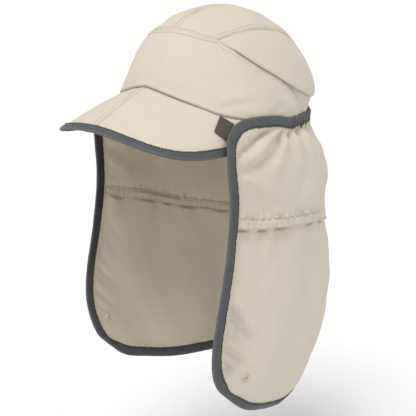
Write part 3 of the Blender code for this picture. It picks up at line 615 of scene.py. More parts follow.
def makeTop(side, name, node):
    across = np.maximum(spread(0.046, count=22), 1e-4)
    start, end = overAtSeam(across, frontSearch), overAtSeam(across, backSearch)
    over = start + spread(0.17, count=86)[:, None] * (end - start)
    points = topPoint(over, np.broadcast_to(across, over.shape), start, side)
    half = np.abs(points[..., 0])
    fromFront = np.radians(over - start) * crown["topRadius"]
    edge = 0.2 * bell(half, 0.001) + bell(half[:, -1:] - half, 0.0008) + 0.2 * bell(fromFront, 0.001)
    dress(addGrid(name, points, capCloth, points, wall=crown["cloth"], marks={"edge": edge}), "cloth", node)


def ventPoint(way, share, side):
    # between the top's side and the slanted edge, lifted off the band below, its edge rounded under
    upper = unitOf(topDirection(topStart + way * (backOver - topStart), np.ones_like(way)))
    angle = crown["ventStart"] + way * (backAngle - crown["ventStart"])
    lower = unitOf(crownAt(angle, ventHeight(angle)))
    direction = unitOf(upper + share[..., None] * (lower - upper))
    width = np.linalg.norm(lower - upper, axis=-1) * crown["ventRadius"]
    fromTop, fromEdge, along = share * width, (1 - share) * width, way * crown["ventRun"]
    gape = between(way, 0.0, 0.16, 1.0, 0.10)
    out = crown["ventLift"] * (0.35 + 0.65 * gape) * rising(share, 0.0, 0.6)
    out = out + seamRelief(fromTop, 0.4 * pullOf(along, 31 + side)) * 0.9 + bumps(fromEdge, crown["ventBumps"])
    out = out + 0.00035 * ripple(along, fromTop, 0.026, 41 + side) * rising(fromTop, 0.0, 0.004)
    return crownToward(direction, out) * (side, 1, 1)


def makeVent(side, name, node):
    way, share = np.linspace(0.004, 0.996, 150), spread(0.045, count=26)[:, None]
    points = ventPoint(*np.broadcast_arrays(way, share), side)
    edge = 0.6 * bell((1 - share) * 0.045, 0.0012) + bell(share * 0.045, 0.0008) + 0 * way
    dress(addGrid(name, points, capCloth, points, wall=crown["cloth"], marks={"edge": edge}), "cloth", node)


makeBand()
for side, word in ((1, "Left"), (-1, "Right")):
    makeTop(side, "topPanel" + word, "top_panel_" + word.lower())
    makeVent(side, "ventPanel" + word, "vent_panel_" + word.lower())
print("crown done")


def crownSeams():
    # rows of stitches: along the front seam on both sides, the centre seam, the vent's upper leg and the back
    at, angle = seamLook["stitchAt"], np.linspace(-crown["ventStart"] + 0.3, crown["ventStart"] - 0.3, 240)
    rows = [bandPoint(angle, seamHeight(angle) - at)]
    for side in (1, -1):
        beyond = side * np.linspace(crown["ventStart"] + 0.8, 68.0, 90)
        rows.append(bandPoint(beyond, seamHeight(beyond) - crown["lapStitch"]))
        across = np.linspace(0.04, 0.985, 120)
        start = overAtSeam(across, frontSearch)
        rows.append(topPoint(start + np.degrees(at / crown["topRadius"]), across, start, side))
        over = np.linspace(topStart + 2.2, backOver - 1.5, 300)
        half = crownToward(topDirection(over, np.ones_like(over)))[:, 0]
        for distance in (at, crown["sideStitch"]):
            rows.append(topPoint(over, 1 - distance / half, np.full_like(over, topStart), side))
        over = np.linspace(overAtSeam(np.array([0.05]), frontSearch)[0] + 2.0, 170.0, 300)
        half = crownToward(topDirection(over, np.ones_like(over)))[:, 0]
        rows.append(topPoint(over, at / half, np.full_like(over, 20.0), side))
    back = np.concatenate([np.linspace(backAngle + 1, 180, 60), np.linspace(-180, -backAngle - 1, 60)])
    rows.append(bandPoint(back, seamHeight(back) - at))
    return [(points, unitOf(points)) for points in rows]


dress(addStitches("crownStitches", crownSeams(), seamThread), "cloth")
print("crown stitches done")


# peak: two halves from the crown's rim out to a curved edge, folded a little along the centre seam

peak = {
    "reach": 0.0545, "halfWidth": 0.083, "back": 0.073, "frontHeight": 0.0025, "sideDrop": 0.0165,
    "leftDrop": 0.0028, "round": 3.0, "cloth": 0.0018, "rise": 0.0015, "end": 62.0, "tuck": 0.0016,
    # dip and half width of the centre seam; the felled strip's two rows, its height and its grooves' width
    "seamDip": 0.0007, "seamWidth": 0.0006, "fellNear": 0.0016, "fellFar": 0.0068, "fellRise": 0.00022,
    "fellEdge": 0.0008, "tapeWidth": 0.0066, "tapeHalf": 0.00165,
}


def peakSurface(way, out):
    # middle of the peak: way is -1 to 1 from side to side, out is 0 under the crown and 1 at the edge
    angle = way * peak["end"]
    inner = crownAt(angle, rimHeight(angle), -crown["cloth"] / 2)
    inner[..., 2] -= peak["tuck"]
    turn = np.radians(np.abs(way) * 90.0)
    x = np.sign(way) * peak["halfWidth"] * np.sin(turn) ** (2 / peak["round"])
    y = -peak["back"] - (crown["front"] + peak["reach"] - peak["back"]) * np.cos(turn) ** (2 / peak["round"])
    z = peak["frontHeight"] - peak["sideDrop"] * (np.abs(x) / peak["halfWidth"]) ** 2.2
    z = z - peak["leftDrop"] * np.maximum(x, 0.0) / peak["halfWidth"]
    points = inner + (np.stack([x, y, z], axis=-1) - inner) * out[..., None]
    points[..., 2] += peak["rise"] * 4 * out * (1 - out)
    return points


def peakFace(way, out, face, side):
    # upper or lower face: the middle moved by half the thickness, dipped at the centre seam,
    # with the felled strip of the right half a little thicker between its two rows
    points = peakSurface(way, out)
    across = np.abs(points[..., 0])
    relief = peak["cloth"] / 2 + 0.00025 * ripple(points[..., 0], points[..., 1], 0.028, 51)
    relief = relief - peak["seamDip"] * bell(across, peak["seamWidth"])
    if side < 0:
        pull = 0.8 + 0.4 * wander(points[..., 1], 0.0027, 52)
        near, far, edge = peak["fellNear"], peak["fellFar"], peak["fellEdge"]
        relief = relief + peak["fellRise"] * between(across, 0.0, near, far + edge, edge)
        grooves = bell(across - near, peak["seamWidth"]) + bell(across - far, peak["seamWidth"])
        relief = relief - peak["fellRise"] * pull * grooves
    points[..., 2] += face * relief
    return points


def peakWays(count):
    dense = np.linspace(0.0, 1.0, 1200)
    length = runLength(peakSurface(dense, np.ones_like(dense)))
    return np.interp(np.linspace(0.0, 1.0, count) ** 1.15 * length[-1], length, dense)


def makePeak(side, name, node):
    # both faces and the edge in one closed skin: out to the edge on top and back below, its two ends shut
    far = peakWays(110)
    ways = side * np.concatenate([0.035 * np.linspace(0.0, 1.0, 27) ** 2.2, far[far > 0.040]])
    outs = np.linspace(0.0, 1.0, 56)
    way, out = np.broadcast_arrays(ways, outs[:, None])
    skin = np.concatenate([peakFace(way, out, 1.0, side), peakFace(way, out, -1.0, side)[::-1]])
    middle = (skin + skin[::-1]) / 2
    skin = np.concatenate([middle[:, :1], skin, middle[:, -1:]], axis=1)
    facing = np.zeros(skin.shape)
    facing[..., 2] = np.repeat([1.0, -1.0], len(outs))[:, None]
    uv = np.concatenate([skin[..., :2], skin[:1, :, :2]])
    edge = 0.5 * bell(skin[..., 0], 0.0012)
    dress(addGrid(name, skin, capCloth, facing, ring=True, uv=uv, marks={"edge": edge}), "cloth", node)


for side, word in ((1, "Left"), (-1, "Right")):
    makePeak(side, "peak" + word, "brim_" + word.lower())


def wayAt(x, out):
    # the way on the peak whose distance from the centre seam is x, found on a fine row of ways
    ways = 0.30 * np.linspace(0.0, 1.0, 900) ** 2
    grid = peakSurface(*np.broadcast_arrays(ways, out[:, None]))[..., 0]
    return np.array([np.interp(x, line, ways) for line in grid])


def peakStitches():
    # two rows beside the seam on the right half, where its allowance is felled, on both faces
    lines = []
    out = np.linspace(0.03, 0.90, 90)
    for distance in (peak["fellNear"], peak["fellFar"]):
        way = -wayAt(distance, out)
        for face in (1.0, -1.0):
            points = peakFace(way, out, face, -1)
            lines.append((points, np.broadcast_to([0.0, 0.0, face], points.shape)))
    return lines


dress(addStitches("peakStitches", peakStitches(), seamThread), "cloth")
print("peak done")


# tapes: a band folded over an edge, carried along it and lying on both faces of the cloth

tape = {
    # section from the folded edge to the lip: share of the width, share of the half thickness, how much painted
    # highlight and scuffing
    "section": ((0.0, 0.80, 0.5), (0.12, 1.00, 0.1), (0.3, 1.05, 0.0), (0.5, 1.0, 0.0), (0.68, 0.95, 0.0),
                (0.80, 0.86, 0.0), (0.86, 0.82, 0.0), (0.93, 0.92, 0.6), (1.0, 0.50, 1.0)),
    # round the folded edge: degrees, how much painted shade, how much painted highlight and scuffing
    "nose": ((64.0, 0.0, 0.8), (36.0, 0.0, 0.8), (0.0, 0.2, 0.8), (-36.0, 0.6, 0.8), (-64.0, 1.0, 0.8)),
    "noseFlat": 0.86, "stitchAt": 6,
    # height at which the hem begins, over which depth, and how much wider its blur is; then the depth below which the
    # inner face's painted shade fades, over which depth, and by what share
    "hem": (0.19, 0.03), "hemSoften": 2.4, "fade": (0.08, 0.17, 0.75),
    # gathers: share of the width, move of the folded edge, height, slow wave, fine wrinkles and least height
    "gatherReach": 0.15, "gatherStart": 0.00035, "gatherRise": 0.00050, "slowRise": 0.00016, "slowPitch": 0.021,
    "wrinkle": 0.00030, "wrinklePitch": 0.0042, "floor": -0.45,
    # a single crease: how far the lip, the folded edge and the face move
    "tuckLip": 0.0012, "tuckEdge": 0.0006, "tuckFall": 0.0006,
}


def blur(values, steps, closed):
    # weighted mean of the neighbours along a line
    reach = int(3 * steps) + 1
    weight = bell(np.arange(-reach, reach + 1.0), steps * 1.4)
    first, last = (values[-reach:], values[:reach]) if closed else \
        (np.repeat(values[:1], reach, 0), np.repeat(values[-1:], reach, 0))
    padded = np.concatenate([first, values, last])
    return np.stack([np.convolve(padded[:, a], weight / weight.sum(), "valid") for a in range(3)], axis=-1)


def onCloth(targets, cloud):
    # each target dropped onto the plane of the nearest point of the cloth, and that point's normal
    places, normals = cloud
    flat = targets.reshape(-1, 3)
    sizes = np.sum(places ** 2, axis=-1)
    nearest = np.concatenate([np.argmin(sizes - 2 * part @ places.T, axis=1) for part in np.array_split(flat, 24)])
    here, up = places[nearest], normals[nearest]
    drop = up * np.sum((flat - here) * up, axis=-1, keepdims=True)
    return (flat - drop).reshape(targets.shape), up.reshape(targets.shape)


def closeUp(values, closed):
    return np.concatenate([values, values[:1]]) if closed else values


def addTape(name, node, edge, inside, cloud, look, gather, tuck, closed):
    # section: lip on the outer face, in to the edge, round it, and out to the lip on the inner face.
    # gather is how strongly the tape ripples at each step, tuck the depth of single creases across it
    steps, swell, rubbedAndHighlit = np.array(tape["section"]).T
    bend, noseShade, noseScuffAndHighlight = np.array(tape["nose"]).T
    gather, tuck, bend = gather[:, None], tuck[:, None], np.radians(bend)
    # the hem's corners are rounder than the rest: a wide blur, with what it takes off a long curve put back
    hanging = rising(-edge[:, 2:], *tape["hem"])
    rounder = blur(edge, look["soften"] * tape["hemSoften"], closed)
    rounder = rounder + blur(edge - rounder, look["soften"] * tape["hemSoften"], closed)
    edge = blur(edge, look["soften"], closed) * (1 - hanging) + rounder * hanging
    turn = np.roll(edge, -2, axis=0) - np.roll(edge, 2, axis=0) if closed else np.gradient(edge, axis=0)
    normal = unitOf(blur(onCloth(inside, cloud)[1], 5, closed))
    inward = unitOf(np.cross(normal, unitOf(blur(turn, 2, closed))))
    inward = inward * np.sign(np.mean(np.sum(inward * (inside - edge), axis=-1)))
    length = runLength(edge)
    fine, slow = (wander(length, look["pucker"] * times, seed)[:, None] for times, seed in ((1.0, 61), (2.3, 62)))
    half = look["half"]
    reach = look["width"] * steps * (1 + tape["gatherReach"] * (gather * (0.8 * fine + 0.4 * slow)) * steps)
    reach = reach + tape["tuckLip"] * tuck * steps
    start = -(tape["gatherStart"] * gather * fine + tape["tuckEdge"] * tuck) * (1 - steps)
    middle, up = onCloth(edge[:, None] + inward[:, None] * (reach - start)[..., None], cloud)
    smooth = np.stack([blur(up[:, a], 3, closed) for a in range(len(steps))], axis=1)
    up = unitOf(0.35 * normal[:, None] + 0.65 * smooth)
    crease = tape["gatherRise"] * (gather * (fine + 0.6 * slow)) * (1 - 0.35 * steps) - tape["tuckFall"] * tuck
    crease = crease + tape["slowRise"] * wander(length, tape["slowPitch"], 63)[:, None] * (1 - steps)
    wrinkles = ripple(length[:, None], look["width"] * steps, tape["wrinklePitch"], 64)
    crease = crease + tape["wrinkle"] * gather * wrinkles
    crease = np.maximum(crease, tape["floor"] * half)
    upper = middle + up * (half * swell + crease)[..., None]
    lower = middle - up * (half * swell + 0.6 * np.minimum(crease, 0.0006))[..., None]
    nose = middle[:, :1] - inward[:, None] * (half * np.cos(bend))[:, None]
    nose = nose + normal[:, None] * (tape["noseFlat"] * half * np.sin(bend))[:, None]
    nose = nose + normal[:, None] * (0.5 * crease[:, :1])[..., None]
    section = np.concatenate([upper[:, ::-1], nose, lower], axis=1)
    # painted highlight and scuffing on the folded edge and both lips; painted shade over the inner face, rising round
    # the nose and fading towards the hem
    wornAndPaintedLight = np.concatenate([rubbedAndHighlit[::-1], noseScuffAndHighlight, rubbedAndHighlit])
    dark = np.concatenate([0 * steps, noseShade, 1 + 0 * steps])
    fadeFrom, fadeOver, fadeShare = tape["fade"]
    innerShade = 1 - fadeShare * rising(-edge[:, 2], fadeFrom, fadeOver)
    if not closed:
        # both ends shut
        centre = np.repeat(section.mean(axis=1, keepdims=True), section.shape[1], axis=1)
        section = np.concatenate([centre[:1], section, centre[-1:]])
        innerShade, length = (np.concatenate([line[:1], line, line[-1:]]) for line in (innerShade, length))
    rows, sides = section.shape[:2]
    around = runLength(section[rows // 2])
    around = np.append(around, around[-1] + 0.002)
    run = np.append(length, length[-1] + 0.001) if closed else length
    uv = np.stack(np.broadcast_arrays(run[:, None], around[None, :]), axis=-1)
    marks = {"edge": np.broadcast_to(wornAndPaintedLight, (rows, sides)), "inner": innerShade[:, None] * dark}
    facing = section - section.mean(axis=1)[:, None]
    piece = addGrid(name, section, tapeCloth, facing, closed=True, ring=closed, uv=uv, marks=marks)
    dress(piece, "tape", node)
    at = tape["stitchAt"]
    lines = [(closeUp(stack[:, at] + face * up[:, at] * 0.00005, closed), face * closeUp(up[:, at], closed))
             for stack, face in ((upper, 1.0), (lower, -1.0))]
    dress(addStitches(name + "Stitches", lines, greyThread, tapeStitch), "tape")


def cloudOf(points, facing):
    # points of a grid and their normals, from the differences along its rows and columns
    normal = unitOf(np.cross(np.gradient(points, axis=1), np.gradient(points, axis=0)))
    normal = normal * np.sign(np.sum(normal * facing, axis=-1, keepdims=True))
    return points.reshape(-1, 3), normal.reshape(-1, 3)


peakTape = {"width": peak["tapeWidth"], "half": peak["tapeHalf"], "pucker": 0.011, "soften": 1.5, "gather": 0.12}


def makePeakTape():
    halfWays = peakWays(330)
    ways = np.concatenate([-halfWays[:0:-1], halfWays])
    edge = peakSurface(ways, np.ones_like(ways))
    inside = peakSurface(ways, 0.9 + 0 * ways)
    lattice = np.broadcast_arrays(ways[::2], np.linspace(0.80, 0.999, 40)[:, None])
    cloud = cloudOf(peakSurface(*lattice), np.array([0.0, 0.0, 1.0]))
    gather = np.full(len(ways), peakTape["gather"])
    addTape("peakTape", "brim_binding", edge, inside, cloud, peakTape, gather, 0 * gather, False)


makePeakTape()
print("peak tape done")


# cape: sections from the elastic down to the hem, each drawn round from the front edge to the back

halfRound = 0.235  # mean length of half the cape, front edge to centre back
cape = {
    "cloth": 0.0005, "drop": 0.284, "corner": 55.0, "sideFlare": 0.010, "backFlare": 0.030, "frontFlare": 0.003,
    "frontSweep": 0.019, "topHeight": 0.0105, "stand": 0.0019, "edgeStand": 0.0040, "sideStand": 0.0023,
    "lay": 0.0046, "topDrop": 0.0013, "tapeWidth": 0.0089, "tapeHalf": 0.0012,
    # way and out of the point of the peak that carries the upper front corner, and how it stands off there
    "onPeak": (0.967, 0.63), "layWay": (-0.3, -0.1, 0.95),
    # rows cut off the upper front corner, over which share of the half cape
    "cornerCut": 0.42, "cornerReach": 0.072,
    # hem's front corner: share of the half cape, and how much of the way down to the temple it keeps
    "hemCorner": (0.12, 0.79),
    # angle from the front, share of the upper edge's height
    "top": ((55, 0.95), (60, 1), (67, 1), (78, 0.90), (87, 0.74), (97, 0.36), (112, 0.24), (125, 0.22), (180, 0.20)),
    # front, temple, side and back depth; front flare, front sweep, side flare, side shift, back flare
    "sections": (
        (0.049, 0.053, 0.068, 0.077, 0.47, 0.03, 0.35, 0.00, 0.06),
        (0.106, 0.116, 0.134, 0.148, 0.82, 0.04, 0.72, 0.00, 0.60),
        (0.194, 0.205, 0.222, 0.236, 1.07, -0.07, 1.00, 0.00, 0.98),
        (0.285, 0.300, 0.334, 0.370, 1.22, -0.01, 0.88, 0.00, 0.86),
        (0.423, 0.434, 0.458, 0.480, 1.38, 0.32, 1.08, 0.00, 0.99),
        (0.563, 0.574, 0.585, 0.598, 1.38, 0.78, 1.27, 0.00, 1.13),
        (0.669, 0.690, 0.722, 0.729, 0.63, 0.96, 1.28, 0.06, 1.05),
        (0.751, 0.800, 0.838, 0.838, -0.41, 0.78, 1.10, 0.16, 0.78),
        (0.806, 0.892, 0.935, 0.908, -0.83, 0.45, 0.70, 0.32, 0.36),
        (0.843, 0.940, 0.992, 0.943, -1.00, -0.04, 0.10, 0.48, -0.20)),
    # folds: place and section where each starts and ends, half width in metres, depth
    "folds": (
        (0.765, 0.95, 0.950, 2.42, 0.0050, -0.0044), (0.700, 1.00, 0.900, 2.75, 0.0060, 0.0034),
        (0.672, 1.00, 0.715, 2.35, 0.0046, -0.0040), (0.715, 2.35, 0.945, 3.15, 0.0056, -0.0034),
        (0.640, 1.60, 0.800, 3.45, 0.0080, 0.0030),
        (0.615, 0.95, 0.640, 2.60, 0.0040, -0.0030), (0.580, 0.95, 0.570, 2.90, 0.0052, 0.0028),
        (0.545, 0.95, 0.530, 2.50, 0.0040, -0.0030), (0.500, 0.95, 0.515, 3.10, 0.0050, 0.0026),
        (0.462, 0.95, 0.470, 2.60, 0.0042, -0.0024), (0.960, 3.60, 0.800, 4.60, 0.0070, -0.0026),
        (0.930, 3.30, 0.780, 4.10, 0.0085, 0.0022), (0.655, 4.30, 0.560, 3.40, 0.0095, -0.0022),
        (0.420, 4.50, 0.440, 3.20, 0.0090, -0.0024), (0.960, 6.75, 0.860, 7.25, 0.0036, -0.0022),
        (0.960, 7.35, 0.840, 8.10, 0.0040, -0.0026), (0.960, 8.05, 0.880, 8.60, 0.0034, -0.0020),
        (0.780, 6.20, 0.700, 9.00, 0.0200, 0.0034), (0.560, 5.60, 0.520, 8.80, 0.0240, -0.0036),
        (0.330, 5.60, 0.300, 9.60, 0.0240, 0.0024), (0.120, 5.60, 0.100, 9.40, 0.0240, -0.0022),
        (0.230, 2.20, 0.240, 4.40, 0.0120, -0.0018), (0.050, 2.00, 0.060, 4.40, 0.0120, 0.0018)),
    # gathers under the elastic, an uneven wave and a fine one: depth, pitch, seed; start, rise, end and fall of rows
    "gathers": ((0.0016, halfRound / 16, 71, (0.5, 0.5, 3.6, 2.6)), (0.0007, 0.0052, 72, (0.55, 0.3, 1.9, 1.0))),
    "gatherEnd": (0.66, 0.06),
    # wrinkles by the front tape: depth, more of it low down, pitch, seed, lean, rows
    "wrinkle": 0.0006, "lowWrinkle": 0.0014, "lowFrom": (6.0, 1.2), "wrinklePitch": 0.0110, "wrinkleLean": 0.8,
    "wrinkleRows": (1.2, 1.0, 9.3, 0.9),
    # depth, pitch and seed of the soft relief all over
    "ripples": ((0.0015, 0.065, 77), (0.00030, 0.018, 78)),
    # the left lobe's side stands out above the channel and falls in just under it: row, width and height
    "side": (0.39, 0.12), "sideBumps": ((3.5, 1.0, 0.0024), (6.1, 0.6, -0.0014)),
    "studs": ((0.865, 9.0), (-0.905, 8.75)), "studFlat": 0.0085, "tacks": (0.768, 0.530, 0.290, 0.0),
}
channel = {
    # where it runs: place, section of its upper line, section of its lip
    "table": ((-1.0, 4.80, 5.04), (-0.95, 4.85, 5.10), (-0.88, 4.98, 5.23), (-0.74, 5.15, 5.39), (-0.645, 5.30, 5.51),
              (-0.54, 5.43, 5.66), (-0.44, 5.53, 5.78), (-0.32, 5.62, 5.88), (-0.15, 5.63, 5.90), (0.0, 5.50, 5.79),
              (0.15, 5.24, 5.56), (0.32, 4.99, 5.36), (0.53, 4.88, 5.15), (0.70, 4.89, 5.15), (0.84, 4.84, 5.12),
              (0.955, 4.70, 5.03), (1.0, 4.68, 5.00)),
    # puffed cloth between the lines, pinched by the stitches, and the groove of the upper line
    "puff": 0.0015, "pinch": 0.0005, "pinchPitch": 0.0085, "groove": 0.0003,
    # scallops above the upper line
    "scallop": 0.0015, "scallopPitch": 0.0078,
    # the hollow under the lip, the lip itself, and how they change along it
    "lipDrop": 0.0028, "lipRise": 0.0011, "loosePitch": 0.031,
    # the channel lies flatter round the side of the left lobe: place, width, share
    "flat": (0.39, 0.10, 0.7), "tackDepth": 0.0012, "tackWidth": 0.0011,
}
lastRow = len(cape["sections"]) + 1
sectionStep = cape["drop"] / lastRow  # mean height of one section
channelUpper = tuple((place, upper) for place, upper, lip in channel["table"])
channelLower = tuple((place, lip) for place, upper, lip in channel["table"])


def resample(points, share):
    length = runLength(points)
    return readLine(share, length / length[-1], points)


def topSection(share, drop, front):
    # along the elastic: the crown's face at a height that a table gives, pulled to the peak at its front
    angle = np.linspace(cape["corner"], 180.0, 240)
    height = cape["topHeight"] * readTable(angle, cape["top"]) - cape["topDrop"]
    line = crownAt(angle, height, cape["stand"])
    line[:, 2] -= drop
    if front is not None:
        pull = np.clip(1 - (angle - cape["corner"]) / 45.0, 0.0, 1.0)[:, None] ** 2
        line = line + (front - line[0]) * pull
    return resample(line, share)


def lowerSection(row, share):
    # hanging section: a parabola from the front edge to the side, then a quarter oval to the centre back
    frontDepth, temple, sideDepth, backDepth, flare, sweep, sideFlare, shift, backFlare = row
    frontX = peak["halfWidth"] + cape["edgeStand"] + flare * cape["frontFlare"]
    frontY = -(peak["back"] + cape["edgeStand"] + sweep * cape["frontSweep"])
    sideX = crown["halfWidth"] + cape["sideStand"] + sideFlare * cape["sideFlare"]
    sideY = -shift * crown["front"]
    backY = crown["back"] * (1 - crown["cinch"]) + cape["sideStand"] + backFlare * cape["backFlare"]
    ahead = np.linspace(1.0, 0.0, 120)
    turn = np.linspace(0.0, math.pi / 2, 220)[1:]
    x = np.concatenate([sideX + (frontX - sideX) * ahead ** 2, sideX * np.cos(turn) ** 1.03])
    y = np.concatenate([sideY + (frontY - sideY) * ahead, sideY + (backY - sideY) * np.sin(turn) ** 1.03])
    points = resample(np.stack([x, y, 0 * x], axis=-1), share)
    cornerShare, keep = cape["hemCorner"]
    depths = ((0.0, frontDepth), (cornerShare, frontDepth + keep * (temple - frontDepth)), (0.18, temple),
              (0.5, sideDepth), (1.0, backDepth))
    points[:, 2] = -cape["drop"] * readTable(share, depths)
    return points


def capeSections(share):
    way, out = cape["onPeak"]
    front = peakSurface(np.array([-way]), np.array([out]))[0] + np.array(cape["layWay"]) * cape["lay"]
    front[0] = -front[0]
    rows = [topSection(share, 0.0, None), topSection(share, cape["tapeWidth"] * 1.3, front)]
    return np.stack(rows + [lowerSection(row, share) for row in cape["sections"]])


def capeSurface(place, row):
    # cubic from section to section; place is 0 at the back and -1 or 1 at the front edges
    place, row = np.broadcast_arrays(np.asarray(place, float), np.asarray(row, float))
    share, back = np.unique(1 - np.abs(place).ravel(), return_inverse=True)
    sections = capeSections(share)
    tangents = np.gradient(sections, axis=0)
    tangents[1] = sections[1] - sections[0]
    column = back.ravel()
    level = np.clip(row.ravel(), 0.0, lastRow)
    i = np.minimum(level.astype(int), lastRow - 1)
    points = cubic((level - i)[:, None], sections[i, column], sections[i + 1, column],
                   tangents[i, column], tangents[i + 1, column]).reshape(place.shape + (3,))
    points[..., 0] *= np.where(place < 0, -1.0, 1.0)
    return points


def capeNormal(place, row):
    across = capeSurface(np.minimum(place + 0.004, 1), row) - capeSurface(np.maximum(place - 0.004, -1), row)
    down = capeSurface(place, np.minimum(row + 0.04, lastRow)) - capeSurface(place, np.maximum(row - 0.04, 0))
    return unitOf(np.cross(across, down))


def onRight(place, share):
    # full on the left lobe, a share of it on the right
    return np.where(place < 0, share, 1.0)


def edgeClear(place, row):
    # 0 under the tapes, 1 where the cloth is free
    return rising(1 - np.abs(place), 0.040, 0.035) * between(row, 0.72, 0.5, lastRow - 0.28, 0.4)


def capeFolds(place, row):
    # long folds: the distance to each line from start to end, faded at its two ends
    side = np.abs(place)
    total = 0.0 * side
    for x0, y0, x1, y1, width, depth in cape["folds"]:
        dx, dy = (x1 - x0) * halfRound, (y1 - y0) * sectionStep
        px, py = (side - x0) * halfRound, (row - y0) * sectionStep
        size = math.hypot(dx, dy)
        t = (px * dx + py * dy) / size ** 2
        within = np.clip(t, 0, 1)
        off = (px * dy - py * dx) / size + 0.12 * size * within * (1 - within)
        total = total + depth * between(t, -0.10, 0.22, 1.25, 0.6) * bell(off, width * (0.75 + 0.6 * within))
    return total * onRight(place, 0.5)


def channelRelief(place, row):
    # two stitched lines with puffed, puckered cloth between, and a lip that hangs over a hollow
    side, around = np.abs(place), place * halfRound
    line, lip = readTable(place, channelUpper), readTable(place, channelLower)
    pinch = wander(around, channel["pinchPitch"], 73) * onRight(place, 0.4)
    scallops = 0.35 + wander(around, channel["scallopPitch"], 74) * onRight(place, 0.4)
    loose = np.clip(0.42 + 0.50 * wander(around, channel["loosePitch"], 75), 0.05, 1.0) * onRight(place, 0.5)
    rise = between(row, line, 0.06, lip, 0.04) * (channel["puff"] + channel["pinch"] * pinch)
    rise = rise - channel["groove"] * bell(row - line, 0.030) * (1 + pinch)
    above = falling(row, line, 0.03) * bell(row - line + 0.03, 0.15 + 0.05 * pinch)
    rise = rise + channel["scallop"] * above * scallops
    rise = rise - channel["lipDrop"] * between(row, lip - 0.005, 0.022, lip + 0.95, 0.9) * loose
    rise = rise + channel["lipRise"] * bell(row - lip + 0.025, 0.045) * (0.4 + loose)
    for tack in cape["tacks"]:
        across = between(row, line - 0.22, 0.1, lip + 0.06, 0.1)
        pressed = bell((side - tack) * halfRound, channel["tackWidth"]) * across
        rise = rise - channel["tackDepth"] * pressed
    at, width, flatter = channel["flat"]
    return rise * rising(1 - side, 0.040, 0.02) * (1 - flatter * bell(place - at, width))


def capeRelief(place, row):
    # gathers, folds, soft relief, the channel, and small wrinkles that leave the front tape
    side = np.abs(place)
    around, down = place * halfRound, row * sectionStep
    turned = around + np.where(place < 0, 0.9, 0.0)
    rise = falling(side, *cape["gatherEnd"]) * sum(
        depth * wander(turned, pitch, seed) * between(row, *rows) for depth, pitch, seed, rows in cape["gathers"])
    rise = rise + edgeClear(place, row) * (capeFolds(place, row) + ripples(around, down, cape["ripples"]))
    rise = rise + channelRelief(place, row)
    nearTape = bell(1 - side - 0.06, 0.09) * rising(1 - side, 0.043, 0.012) * onRight(place, 0.3)
    wave = wander(down - cape["wrinkleLean"] * (1 - side) * halfRound, cape["wrinklePitch"], 76)
    depth = cape["wrinkle"] + cape["lowWrinkle"] * rising(row, *cape["lowFrom"])
    rise = rise + depth * nearTape * wave * between(row, *cape["wrinkleRows"])
    at, width = cape["side"]
    rise = rise + bell(place - at, width) * bumps(row, cape["sideBumps"])
    for at, level in cape["studs"]:
        away = np.hypot((place - at) * halfRound, (row - level) * sectionStep)
        rise = rise * (1 - bell(away, cape["studFlat"]))
    return rise


def capePoint(place, row, out=0.0):
    place, row = np.broadcast_arrays(np.asarray(place, float), np.asarray(row, float))
    return capeSurface(place, row) + capeNormal(place, row) * (capeRelief(place, row) + out)[..., None]


def cornerRow(place):
    return cape["cornerCut"] * np.clip(1 - (1 - np.abs(place)) / cape["cornerReach"], 0.0, 1.0) ** 2


def capeRows(place, level):
    # even rows under a corner that is cut back, bent near the channel so that they run along it
    start = cornerRow(place)
    bent = (readTable(place, channelLower) - 5.12) * between(level, 3.0, 1.7, 8.2, 2.9)
    return start + (lastRow - start) * (level / lastRow) + bent


def makeCape():
    half = stretches((0.0, 0.92, 112), (0.92, 0.984, 12))
    level = stretches((0.05, 2.4, 34), (2.4, 4.62, 26), (4.62, 5.26, 40), (5.26, 10.2, 54),
                      (10.2, lastRow - 0.14, 12))
    place = np.concatenate([-half[:0:-1], half])
    row = capeRows(place[None, :], level[:, None])
    place = np.broadcast_to(place, row.shape)
    points = capePoint(place, row, cape["cloth"] / 2)
    # darker just past the tape's lip
    edge = 0.5 * bell((1 - np.abs(place)) * halfRound - cape["tapeWidth"], 0.003)
    # painted shadow, broken into patches, just under the channel's lip
    lipShadowPatches = np.clip(0.55 + 0.6 * wander(place * halfRound, channel["loosePitch"], 75), 0.1, 1.1)
    edge = edge + 3.4 * lipShadowPatches * bell(row - readTable(place, channelLower) - 0.04, 0.045)
    piece = addGrid("capeCloth", points, capCloth, points * (1, 1, 0), wall=cape["cloth"], marks={"edge": edge})
    dress(piece, "cloth", "cape")
    # measures of the flat cut, printed
    smooth = capeSurface(place, row)
    area = spans(points, 1)[:-1] * spans(points, 0)[:, :-1]
    print("cape widest", spans(smooth, 1).sum(axis=1).max(), "tallest", spans(smooth, 0).sum(axis=0).max(),
          "area", float(area.sum()))
    return piece


capeCloth = makeCape()
print("cape done")


capeTape = {
    "width": cape["tapeWidth"], "half": cape["tapeHalf"], "pucker": 0.0058, "soften": 4.5,
    # how strongly it ripples: everywhere, more along the elastic, and a little at the near hem
    "gather": 0.18, "elastic": 1.15, "hem": 0.35,
    # single creases: place, section, half width, depth
    "creases": ((0.628, 0.0, 0.0011, 1.5), (0.606, 0.0, 0.0010, 0.8), (0.905, 0.1, 0.0012, 0.5),
                (-0.628, 0.0, 0.0011, 1.5)),
}


def tapeRow(place, share):
    # row at a share of the way from the upper edge down to the hem
    return cornerRow(place) + (lastRow - cornerRow(place)) * share


